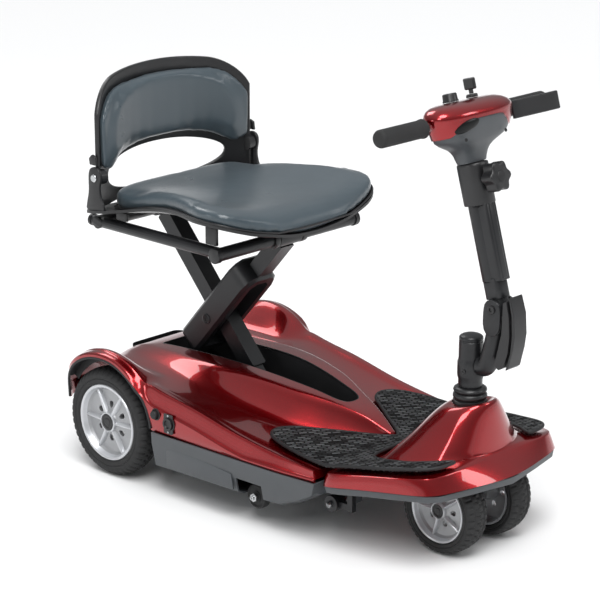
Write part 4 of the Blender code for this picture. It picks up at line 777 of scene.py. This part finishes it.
def build_tiller():
    tube_at = TILLER.to_3x3().to_4x4()
    rows = [(0.045, 0.015), (0.046, 0.017), (0.048, 0.0178), (0.182, 0.0178)]
    place(tube("rear_column_tube", [on_tiller(0, -0.0045, a) for a, _ in rows], [w for _, w in rows], COAT,
        48), "tiller", "tiller_tube")
    for name, wide, deep, forward, low, high in (("front_channel", 0.0285, 0.029, 0.01, 0.046, 0.182),
            ("channel_face", 0.017, 0.029, 0.0112, 0.05, 0.182), ("column_neck", 0.031, 0.038, 0.0, 0.016,
            0.052), ("column_foot", 0.03, 0.03, 0.0, -0.012, 0.02)):
        outline = rounded_box(wide, deep, 0.01 if "column" in name else 0.004)
        middle = AT(on_tiller(0, forward, (low + high) / 2)) @ tube_at
        piece = prism(name, outline, high - low, middle, COAT)
        if name == "column_foot":
            boolean(piece, bar("cut", 0.0054, (-0.05, TILLER_PIVOT.y, TILLER_PIVOT.z),
                (0.05, TILLER_PIVOT.y, TILLER_PIVOT.z), None))
        place(round_edges(piece, 0.0012), "tiller")
    rows = [(0.179, 0.0212, 0.05), (0.1796, 0.0226, 0.0535), (0.1815, 0.0231, 0.055), (0.245, 0.0231, 0.055),
        (0.2495, 0.0229, 0.0545), (0.251, 0.022, 0.052), (0.2515, 0.02, 0.048)]
    place(skin("column_clamp", [console_ring(a, w, d, 0.0, 64, 2.5) for a, w, d in rows], SATIN, closed=True,
        cap=True, smooth=40), "tiller", "clamp_collar")
    place(bar("clamp_boss", 0.0125, on_tiller(0, 0.02, CLAMP_AT), on_tiller(0, 0.034, CLAMP_AT), SATIN, 40),
        "tiller")
    outline = []
    for k in range(96):
        angle = 2 * PI * k / 96
        reach = 0.0248 + 0.0027 * math.cos(6 * angle)
        outline.append((reach * math.cos(angle), reach * math.sin(angle)))
    turn = TILLER.to_3x3() @ Matrix.Rotation(math.radians(90), 3, "X")
    knob = prism("lobed_knob", outline, 0.0245, AT(on_tiller(0, 0.047, CLAMP_AT)) @ turn.to_4x4(), SATIN)
    round_edges(knob, 0.0035, 3)
    place(knob, "clamp_knob", "clamp_knob")
    centre = on_tiller(0, 0.059, CLAMP_AT)
    cap = lathe("knob_cap", [(0, 0.0022), (0.0085, 0.0022), (0.01, 0.0012), (0.0105, 0.0), (0, 0.0)], centre,
        TILLER.to_3x3() @ Vector((0, -1, 0)), DARK, 40)
    place(cap, "clamp_knob")
    place(lathe("column_seal", [(0.0112, 0.0), (0.0175, 0.0), (0.018, 0.0016), (0.016, 0.0026),
        (0.0112, 0.0026)], on_tiller(0, 0, 0.1775), TILLER.to_3x3() @ Vector((0, 0, -1)), DARK, 40,
        closed=True), "tiller")


def console_ring(along, half_wide, deep, forward, count=64, power=2.6):
    """Superellipse across the tiller at a distance along it."""
    ring = []
    for k in range(count):
        angle = 2 * PI * k / count
        c, s = math.cos(angle), math.sin(angle)
        u = half_wide * math.copysign(abs(c) ** (2 / power), c)
        v = deep / 2 * math.copysign(abs(s) ** (2 / power), s)
        ring.append(on_tiller(u, forward - v, along))
    return ring


def build_console():
    rows = [(0.2519, 0.028, 0.031, 0.0), (0.2525, 0.0302, 0.033, 0.0), (0.26, 0.033, 0.036, 0.0),
        (0.268, 0.0368, 0.038, 0.001), (0.2745, 0.042, 0.042, 0.002), (0.28, 0.05, 0.046, 0.004),
        (0.285, 0.0615, 0.052, 0.006), (0.2905, 0.074, 0.058, 0.008), (0.297, 0.0835, 0.0625, 0.009),
        (0.31, 0.0895, 0.069, 0.012), (0.322, 0.0935, 0.0735, 0.013), (0.3255, 0.094, 0.0735, 0.013),
        (0.3258, 0.09, 0.07, 0.013)]
    lower = skin("console_funnel", [console_ring(*r) for r in rows], GREY, closed=True, cap=True, smooth=40)
    place(lower, "console", "console_lower")
    shape = [curve_of([(q[0], q[i]) for q in rows[-2::-1]]) for i in (1, 2, 3)]
    skirt = []
    for t in (0.0, 0.02, 0.5, 1.0):
        ring = []
        for k in range(64):
            c, d = math.cos(2 * PI * k / 64), math.sin(2 * PI * k / 64)
            edge = 0.3258 - 0.024 * step_between(abs(c), 0.3, 0.88)
            along = edge + (0.3258 - edge) * t
            grow = 0.0002 if t == 0 else 0.002
            u = (shape[0](along) + grow) * math.copysign(abs(c) ** (2 / 2.6), c)
            v = (shape[1](along) / 2 + grow) * math.copysign(abs(d) ** (2 / 2.6), d)
            ring.append(on_tiller(u, shape[2](along) - v, along))
        skirt.append(ring)
    rows = [(0.329, 0.0985, 0.078, 0.013), (0.334, 0.1005, 0.0795, 0.013), (0.34, 0.0995, 0.0775, 0.012),
        (0.3465, 0.0955, 0.0725, 0.01), (0.352, 0.088, 0.064, 0.007), (0.3562, 0.076, 0.051, 0.004),
        (0.3583, 0.06, 0.036, 0.002), (0.3588, 0.04, 0.022, 0.001)]
    upper = skin("console_hood", skirt + [console_ring(*r) for r in rows], RED, closed=True, cap=True,
        smooth=40)
    place(upper, "console", "console_cover")
    rings = []
    for grow, lift in ((0.0, 0.0), (0.96, 0.0), (1.0, 0.0022), (0.97, 0.0036), (0.8, 0.0044), (0.45, 0.0048),
            (0.0, 0.005)):
        ring = []
        for k in range(40):
            c, d = math.cos(2 * PI * k / 40), math.sin(2 * PI * k / 40)
            x, along = -0.046 + 0.0265 * grow * c, 0.3165 + 0.0095 * grow * d + 0.0055 * grow * c
            row = [table(min(along, 0.3255)) for table in shape]
            bulge = (1 - (abs(x) / (row[0] + 0.002)) ** 2.6) ** (1 / 2.6)
            ring.append(on_tiller(x, row[2] + (row[1] / 2 + 0.002) * bulge - 0.003 + lift, along))
        rings.append(ring)
    place(skin("console_window", rings, WINDOW, closed=True, smooth=40), "console", "front_window")
    polish("handlebar", ZINC, 0)
    for side, hand in SIDES:
        end = [(0, 0.1112), (0.006, 0.111), (0.011, 0.11), (0.014, 0.108), (0.0154, 0.105), (0.0156, 0.1)]
        rows = end + [(0.0156, 0.006), (0.0156, 0.004), (0.0166, 0.003), (0.0168, 0.0005), (0.016, 0.0),
            (0.0114, 0.0)]
        place(lathe("grip_piece_" + hand, rows, on_tiller(side * 0.1055, 0, HANDLE_AT), (side, 0, 0), GRIP,
            48, 40), "console", "grip_" + hand)
    polish("throttle_lever", SATIN, 0.0045, 4, 40)
    for side in (1, -1):
        bolt("console_screw", on_tiller(side * 0.052, 0.0425, 0.294), TILLER.to_3x3() @ Vector((0, -1, 0)),
            0.0032, 0.0012, "console", DARK)
    dial = [(0, 0.0148), (0.01, 0.015), (0.0116, 0.0144), (0.0124, 0.0128), (0.013, 0.004), (0.0139, 0.0022),
        (0.014, 0.0005), (0, 0.0005)]
    knob = lathe("dial_knob", dial, on_tiller(-0.026, 0.002, 0.359), TILLER.to_3x3() @ Vector((0, 0, 1)),
        SATIN, 48, 30)
    place(knob, "speed_dial", "speed_dial")
    mark = prism("dial_mark", [(-0.0006, 0.001), (0.0006, 0.001), (0.0006, 0.0072), (-0.0006, 0.0072)],
        0.0006, AT(on_tiller(-0.026, 0.002, 0.3741)) @ TILLER.to_3x3().to_4x4(), SILVER)
    place(mark, "speed_dial")
    polish("key_lock", SATIN, 0.0006)
    polish("key", SATIN, 0.0006)
    polish("fold_casing", SATIN, 0.002, 3, 30)
    polish("fold_lever", SATIN, 0.0015, 2, 30)


# ---------------------------------------------------------------- seat
PAN_HALF = curve_of([(0.411, 0.15), (0.4075, 0.18), (0.404, 0.198), (0.392, 0.2092), (0.345, 0.2092),
    (0.31, 0.196), (0.265, 0.1785), (0.215, 0.1785), (0.16, 0.192), (0.11, 0.2075), (0.07, 0.2085),
    (0.035, 0.19), (0.014, 0.15), (0.003, 0.085)])
PAN_RISE = curve_of([(0.411, 0.002), (0.404, 0.004), (0.392, 0.006), (0.345, 0.013), (0.31, 0.019),
    (0.265, 0.027), (0.215, 0.034), (0.16, 0.039), (0.11, 0.04), (0.07, 0.04), (0.035, 0.034), (0.014, 0.022),
    (0.003, 0.008)])
OUTLINE = curve_of([(0.394, 0.1), (0.39, 0.122), (0.378, 0.153), (0.345, 0.1705), (0.31, 0.174),
    (0.265, 0.1735), (0.215, 0.1755), (0.16, 0.19), (0.11, 0.2065), (0.07, 0.2065), (0.035, 0.188),
    (0.019, 0.153), (0.008, 0.106), (0.0045, 0.086)])
FULLNESS = curve_of([(0.394, 0.014), (0.39, 0.028), (0.378, 0.041), (0.345, 0.043), (0.07, 0.0425),
    (0.035, 0.04), (0.019, 0.034), (0.008, 0.021), (0.0045, 0.01)])
PAN_FACE = 0.5015


def pan_level(x, y):
    return PAN_FACE + PAN_RISE(y) * min(abs(x) / PAN_HALF(y), 1) ** 2.2


def build_pan():
    """Thin bucket-shaped shell, its hinge ears and the brackets that stand on the rails."""
    rings = []
    ys = [0.4108, 0.409, 0.406, 0.402, 0.396, 0.388, 0.376, 0.36] + [0.345 - 0.0145 * k for k in range(20)]
    ys += [0.06, 0.05, 0.041, 0.033, 0.026, 0.02, 0.0145, 0.01, 0.0065, 0.0035]
    for y in ys:
        half = PAN_HALF(y)
        ring = []
        for k in range(-14, 15):
            x = half * math.sin(PI / 2 * k / 14)
            ring.append((x, y, pan_level(x, y) - 0.0058))
        ring.append((half + 0.0004, y, pan_level(half, y) - 0.003))
        for k in range(14, -15, -1):
            x = half * math.sin(PI / 2 * k / 14)
            ring.append((x, y, pan_level(x, y) - 0.0002))
        ring.append((-half - 0.0004, y, pan_level(half, y) - 0.003))
        rings.append(ring)
    pan = skin("pan_shell", rings, SATIN, closed=True, cap=True, smooth=50)
    place(pan, "seat", "seat_pan")
    ear = [(0.348, 0.508), (0.397, 0.506), (0.3945, 0.522), (0.388, 0.545), (0.389, 0.574), (0.385, 0.589),
        (0.3716, 0.594), (0.358, 0.589), (0.3545, 0.574), (0.36, 0.555), (0.357, 0.535), (0.347, 0.52)]
    outline = chaikin(ear, 2, closed=True)
    for side in (-1, 1):
        piece = prism("hinge_ear", outline, 0.006, AT((side * 0.206, 0, 0)) @ SIDEWAYS, SATIN)
        place(round_edges(piece, 0.0014), "seat")
        for y, top in ((0.105, 0.5195), (0.345, 0.5035)):
            frame_at = AT((side * 0.165, y, (top + 0.4876) / 2))
            stand = prism("rail_bracket", rounded_box(0.007, 0.03, 0.003), top - 0.4876, frame_at, SATIN)
            place(round_edges(stand, 0.0008), "seat")


def build_cushion():
    """Bucket-shaped vinyl cushion, blown up a little so that it crowns between its edges."""
    ys = [0.394, 0.3925, 0.389, 0.383, 0.375, 0.36, 0.34, 0.31, 0.28, 0.25, 0.22, 0.19, 0.16, 0.13, 0.1,
        0.075, 0.055, 0.038, 0.027, 0.019, 0.012, 0.0075, 0.0045]
    rings = []
    for y in ys:
        half, full = OUTLINE(y), FULLNESS(y)
        middle = PAN_FACE + full
        edge = max(pan_level(half, y) + full * 0.74, middle)
        ring = []
        for k in range(-10, 11):
            u = k / 10
            ring.append((half * 0.97 * u, y, middle + (edge - middle) * abs(u) ** 2.4 - 0.006 * full / 0.043
                * abs(u) ** 9))
        foot = pan_level(half, y) + 0.0012
        ring += [(half, y, edge - full * 0.3), (half, y, foot + full * 0.2), (half * 0.985, y, foot)]
        for k in range(9, -10, -1):
            x = half * 0.96 * k / 9
            ring.append((x, y, pan_level(x, y) + 0.0012))
        ring += [(-half * 0.985, y, foot), (-half, y, foot + full * 0.2), (-half, y, edge - full * 0.3)]
        rings.append(ring)
    cushion = skin("vinyl_cushion", rings, VINYL, closed=True, cap=True, smooth=0)
    inflate(cushion, 0.003)
    for vert in cushion.data.vertices:
        x, y, z = vert.co
        vert.co.z = max(z, pan_level(x, min(max(y, 0.003), 0.411)) + 0.0006)
    place(cushion, "seat", "seat_cushion")
    path = [(OUTLINE(y) + 0.0012, y, pan_level(OUTLINE(y), y) + 0.0026) for y in ys]
    path += [(-x, y, z) for x, y, z in reversed(path)]
    path = chaikin(path, 2, closed=True)
    place(tube("seat_piping", path + [path[0]], 0.002, SATIN, 8), "seat")


def backrest_y(x):
    return 0.432 - 0.062 * (min(abs(x), 0.2025) / 0.2025) ** 2.4


def backrest_top(x):
    x = abs(x)
    return (0.757 - 0.014 * (x / 0.15) ** 2 - 0.06 * (1 - math.sqrt(max(0,
        1 - (max(0, x - 0.12) / 0.0828) ** 2))))


def opening_top(x):
    return 0.5625 + 0.0365 * math.sqrt(max(0, 1 - (x / 0.155) ** 2))


def opening_low(x):
    return 0.5615 - 0.0445 * math.sqrt(max(0, 1 - (x / 0.155) ** 2))


def build_backrest():
    """Curved shell with a lens-shaped opening under the pad."""
    bm = bmesh.new()
    half = [0.1995 * k / 30 for k in range(23)] + [0.15, 0.1525, 0.154, 0.155, 0.16, 0.167, 0.174, 0.18,
        0.186, 0.19, 0.194, 0.197, 0.1995]
    columns = []
    for x in [-v for v in reversed(half[1:])] + half:
        y = backrest_y(x)
        low = 0.5065 + 0.016 * max(0, (abs(x) - 0.15) / 0.0525) ** 2
        levels = [low + (opening_low(x) - low) * k / 4 for k in range(5)]
        levels += [opening_top(x) + (backrest_top(x) - opening_top(x)) * k / 10 for k in range(11)]
        columns.append([bm.verts.new((x, y, z)) for z in levels])
    for a, b in zip(columns, columns[1:]):
        for level in range(15):
            open_here = level == 4 and max(abs(a[0].co.x), abs(b[0].co.x)) < 0.1551
            if not open_here:
                bm.faces.new((a[level], b[level], b[level + 1], a[level + 1]))
    shell = add("backrest_back", bm, SATIN)
    modify(shell, "SOLIDIFY", thickness=0.009, offset=0.0)
    apply(shell)
    round_edges(shell, 0.0028, 3, 50)
    place(shell, "backrest", "backrest_shell")
    for side in (-1, 1):
        boss = lathe("hinge_boss", [(0, 0.0), (0.012, 0.0), (0.014, -0.0016), (0.0142, -0.0165),
            (0, -0.0165)], (side * 0.2028, *BACK_HINGE), (side, 0, 0), SATIN, 40, 40)
        place(boss, "backrest")
    stations = [-0.19, -0.186, -0.178, -0.166, -0.15, -0.125, -0.1, -0.07, -0.035, 0, 0.035, 0.07, 0.1, 0.125,
        0.15, 0.166, 0.178, 0.186, 0.19]
    rings = []
    for x in stations:
        reach = abs(x)
        pinch = max(0, (reach - 0.12) / 0.07)
        low = opening_top(x) + 0.009 + 0.018 * pinch ** 2.4
        high = backrest_top(x) - 0.015 - 0.016 * pinch ** 2.4
        rear = backrest_y(x) - 0.0068
        deep = 0.0215 * (1 - 0.35 * pinch ** 3)
        ring = []
        for v, z in ((0.0, 0.03), (0.55, 0.0), (0.88, 0.05), (1.0, 0.18), (1.0, 0.4), (1.0, 0.6), (1.0, 0.82),
                (0.88, 0.95), (0.55, 1.0), (0.0, 0.97)):
            ring.append((x, rear - deep * v, low + (high - low) * z))
        for z in (0.75, 0.5, 0.25):
            ring.append((x, rear, low + (high - low) * z))
        rings.append(ring)
    pad = skin("backrest_cushion", rings, VINYL, closed=True, cap=True, smooth=0)
    inflate(pad, 0.005)
    place(pad, "backrest", "backrest_pad")
    for side in (-1, 1):
        catch = prism("fold_catch", [(0.3655, 0.596), (0.384, 0.596), (0.386, 0.608), (0.378, 0.616),
            (0.368, 0.612)], 0.0055, AT((side * 0.2062, 0, 0)) @ SIDEWAYS, SATIN)
        place(round_edges(catch, 0.0012), "backrest")


def build_seat_base():
    for name in ("fork_leg", "slide_leg"):
        polish(name, COAT, 0.0022, 3, 30)
    for name in ("leg_bracket", "slide_shoe"):
        polish(name, COAT, 0.001)
    polish("seat_frame", COAT, 0)
    for side in (-1, 1):
        place(lathe("tube_cap", [(0, 0.0022), (0.01, 0.0022), (0.0138, 0.0006), (0.0144, -0.0015),
            (0.0144, -0.0085), (0, -0.0085)], SEAT_PIVOT + Vector((side * 0.185, 0, 0)), (side, 0, 0), SATIN,
            40, 40), "seat")
        place(lathe("rail_cap", [(0, 0.002), (0.0085, 0.0018), (0.0112, 0.0), (0.0116, -0.006), (0, -0.006)],
            SLIDE_PIVOT + Vector((side * 0.165, 0.0262, -0.0006)), (0, 1, 0), SATIN, 40, 40), "seat")
        place(lathe("tube_collar", [(0.0126, -0.006), (0.0158, -0.006), (0.0162, -0.004), (0.0162, 0.004),
            (0.0158, 0.006), (0.0126, 0.006)], SEAT_PIVOT + Vector((side * 0.036, 0, 0)), (1, 0, 0), SATIN,
            40, 40, closed=True), "seat")
    for _, hand in SIDES:
        polish("backrest_bolt_" + hand, ZINC, 0.0005)
    ahead = Vector((0, -math.cos(LEG_LEAN), math.sin(LEG_LEAN)))
    down = Vector((0, -math.sin(LEG_LEAN), -math.cos(LEG_LEAN)))
    for side in (-1, 1):
        place_at = FORK_FOOT + ahead * 0.145 + down * -0.004 + Vector((side * 0.042, 0, 0))
        ring = lathe("cheek_ring", [(0.007, 0.0), (0.01, 0.0), (0.01, 0.0016), (0.0084, 0.0022),
            (0.007, 0.0016)], place_at, (side, 0, 0), COAT, 40, closed=True)
        place(ring, "fork_leg")
        bolt("cheek_bolt", place_at + Vector((side * 0.0002, 0, 0)), (side, 0, 0), 0.0066, 0.002, "fork_leg",
            DARK)


def build_rest():
    for name, mat, width in (("rear_tray", GREY, 0.0016), ("front_tray", GREY, 0.0014),
            ("front_fork", COAT, 0.0045), ("front_frame", COAT, 0.001), ("main_frame", COAT, 0.001),
            ("battery_pack", GREY, 0.001), ("control_box", DARK, 0.001), ("drive_unit", SILVER, 0.001),
            ("grab_handle", SATIN, 0), ("section_rod", ZINC, 0), ("trolley_axle", ZINC, 0),
            ("front_axle", ZINC, 0), ("inner_tube", ZINC, 0)):
        polish(name, mat, width)
    for side in (-1, 1):
        shape = [(0.105, -0.024), (0.105, 0.008), (0.085, 0.02), (-0.06, 0.006), (-0.066, -0.024)]
        lean = Matrix.Rotation(math.radians(-1.38 * side), 4, "Z")
        panel = prism("battery_panel", shape, 0.004, AT((side * 0.2262, 0.06, 0.085)) @ lean @ SIDEWAYS, GREY)
        place(round_edges(panel, 0.0014), "chassis")
    polish("power_button", DARK, 0.0006)
    polish("charger_socket", SATIN, 0.0006)
    face = AT((-0.2312, 0.157, 0.148)) @ SIDEWAYS
    plate = prism("charger_plate", rounded_box(0.024, 0.038, 0.003), 0.0016, face, SATIN)
    boolean(plate, bar("cut", 0.0122, (-0.22, 0.157, 0.148), (-0.25, 0.157, 0.148), None, 40))
    place(plate, "chassis")
    for rise in (-0.0158, 0.0158):
        bolt("plate_screw", (-0.232, 0.157, 0.148 + rise), (-1, 0, 0), 0.002, 0.001, "chassis")
    for y, z, size in ((0.192, 0.158, 0.0088), (0.157, 0.148, 0.0126)):
        ring = lathe("port_ring", [(size, -0.004), (size, 0.0008), (size + 0.0012, 0.0016),
            (size + 0.0026, 0.0006), (size + 0.0026, -0.004)], (-0.23, y, z), (-1, 0, 0), SATIN, 48,
            closed=True)
        place(ring, "chassis")
    rings = [[(p.x * k, 0.424 + p.y * k, z) for p in rounded_box(0.134, 0.04, 0.018)] for k, z in ((0.985,
        0.1995), (0.97, 0.176), (0.9, 0.17), (0.0, 0.169))]
    pocket = skin("grab_pocket", rings, DARK, closed=True)
    modify(pocket, "SOLIDIFY", thickness=0.0012, offset=1.0)
    place(apply(pocket), "chassis")


# ---------------------------------------------------------------- studio
def studio():
    bm = bmesh.new()
    bmesh.ops.create_grid(bm, x_segments=2, y_segments=2, size=30.0)
    floor = add("floor", bm, None, 0, recalc=False)
    pale, _, shader = material("pale_floor")
    shader["Base Color"].default_value = FLOOR_COLOUR
    shader["Roughness"].default_value = 0.9
    floor.data.materials.append(pale)
    floor.location.z = -0.0005
    world = bpy.data.worlds.new("studio")
    bpy.context.scene.world = world
    world.use_nodes = True
    tree = world.node_tree
    where = tree.nodes.new("ShaderNodeTexCoord").outputs["Generated"]
    split = node_of(tree, "ShaderNodeSeparateXYZ", Vector=where)
    ramp = node_of(tree, "ShaderNodeValToRGB", Fac=split.outputs["Z"])
    stops = ((0.0, 0.92), (0.075, 0.92), (0.15, 0.22), (0.35, 0.32), (0.65, 0.55), (1.0, 0.75))
    while len(ramp.color_ramp.elements) < len(stops):
        ramp.color_ramp.elements.new(0.5)
    for element, (at, level) in zip(ramp.color_ramp.elements, stops):
        element.position = at
        element.color = (level * 0.97, level * 0.985, level, 1)
    tree.links.new(ramp.outputs["Color"], tree.nodes["Background"].inputs["Color"])
    tree.nodes["Background"].inputs["Strength"].default_value = 1.0
    sun = bpy.data.lights.new("soft_sun", "SUN")
    sun.energy = 2.1
    sun.angle = math.radians(32)
    sun_at = bpy.data.objects.new("soft_sun", sun)
    sun_at.rotation_euler = (Vector((0.25, 0.35, -1))).to_track_quat("-Z", "Y").to_euler()
    bpy.context.scene.collection.objects.link(sun_at)
    lamps = [((-2.2, -1.4, 2.6), 1.0, 26), ((1.8, -2.4, 2.2), 0.8, 12), ((0.4, 2.2, 2.6), 1.2, 20),
        ((-2.6, 0.9, 1.0), 0.6, 6)]
    for i, (spot, size, power) in enumerate(lamps):
        light = bpy.data.lights.new(f"softbox_{i}", "AREA")
        light.shape = "RECTANGLE"
        light.size = size
        light.size_y = size
        light.energy = power
        obj = bpy.data.objects.new(f"softbox_{i}", light)
        obj.location = spot
        obj.rotation_euler = (Vector((0, 0, 0.3)) - Vector(spot)).to_track_quat("-Z", "Y").to_euler()
        bpy.context.scene.collection.objects.link(obj)
    camera = bpy.data.cameras.new("camera")
    camera.lens = LENS
    camera.sensor_width = 36.0
    eye = bpy.data.objects.new("camera", camera)
    eye.location = EYE
    eye.rotation_euler = [math.radians(angle) for angle in EYE_TURN]
    bpy.context.scene.collection.objects.link(eye)
    bpy.context.scene.camera = eye
    bpy.context.scene.view_settings.view_transform = "Standard"


studio()
build_rear_cover()
build_slot_liner()
build_front_cover()
build_mat()
build_wheels()
build_column()
build_tiller()
build_console()
build_seat_base()
build_pan()
build_cushion()
build_backrest()
build_rest()
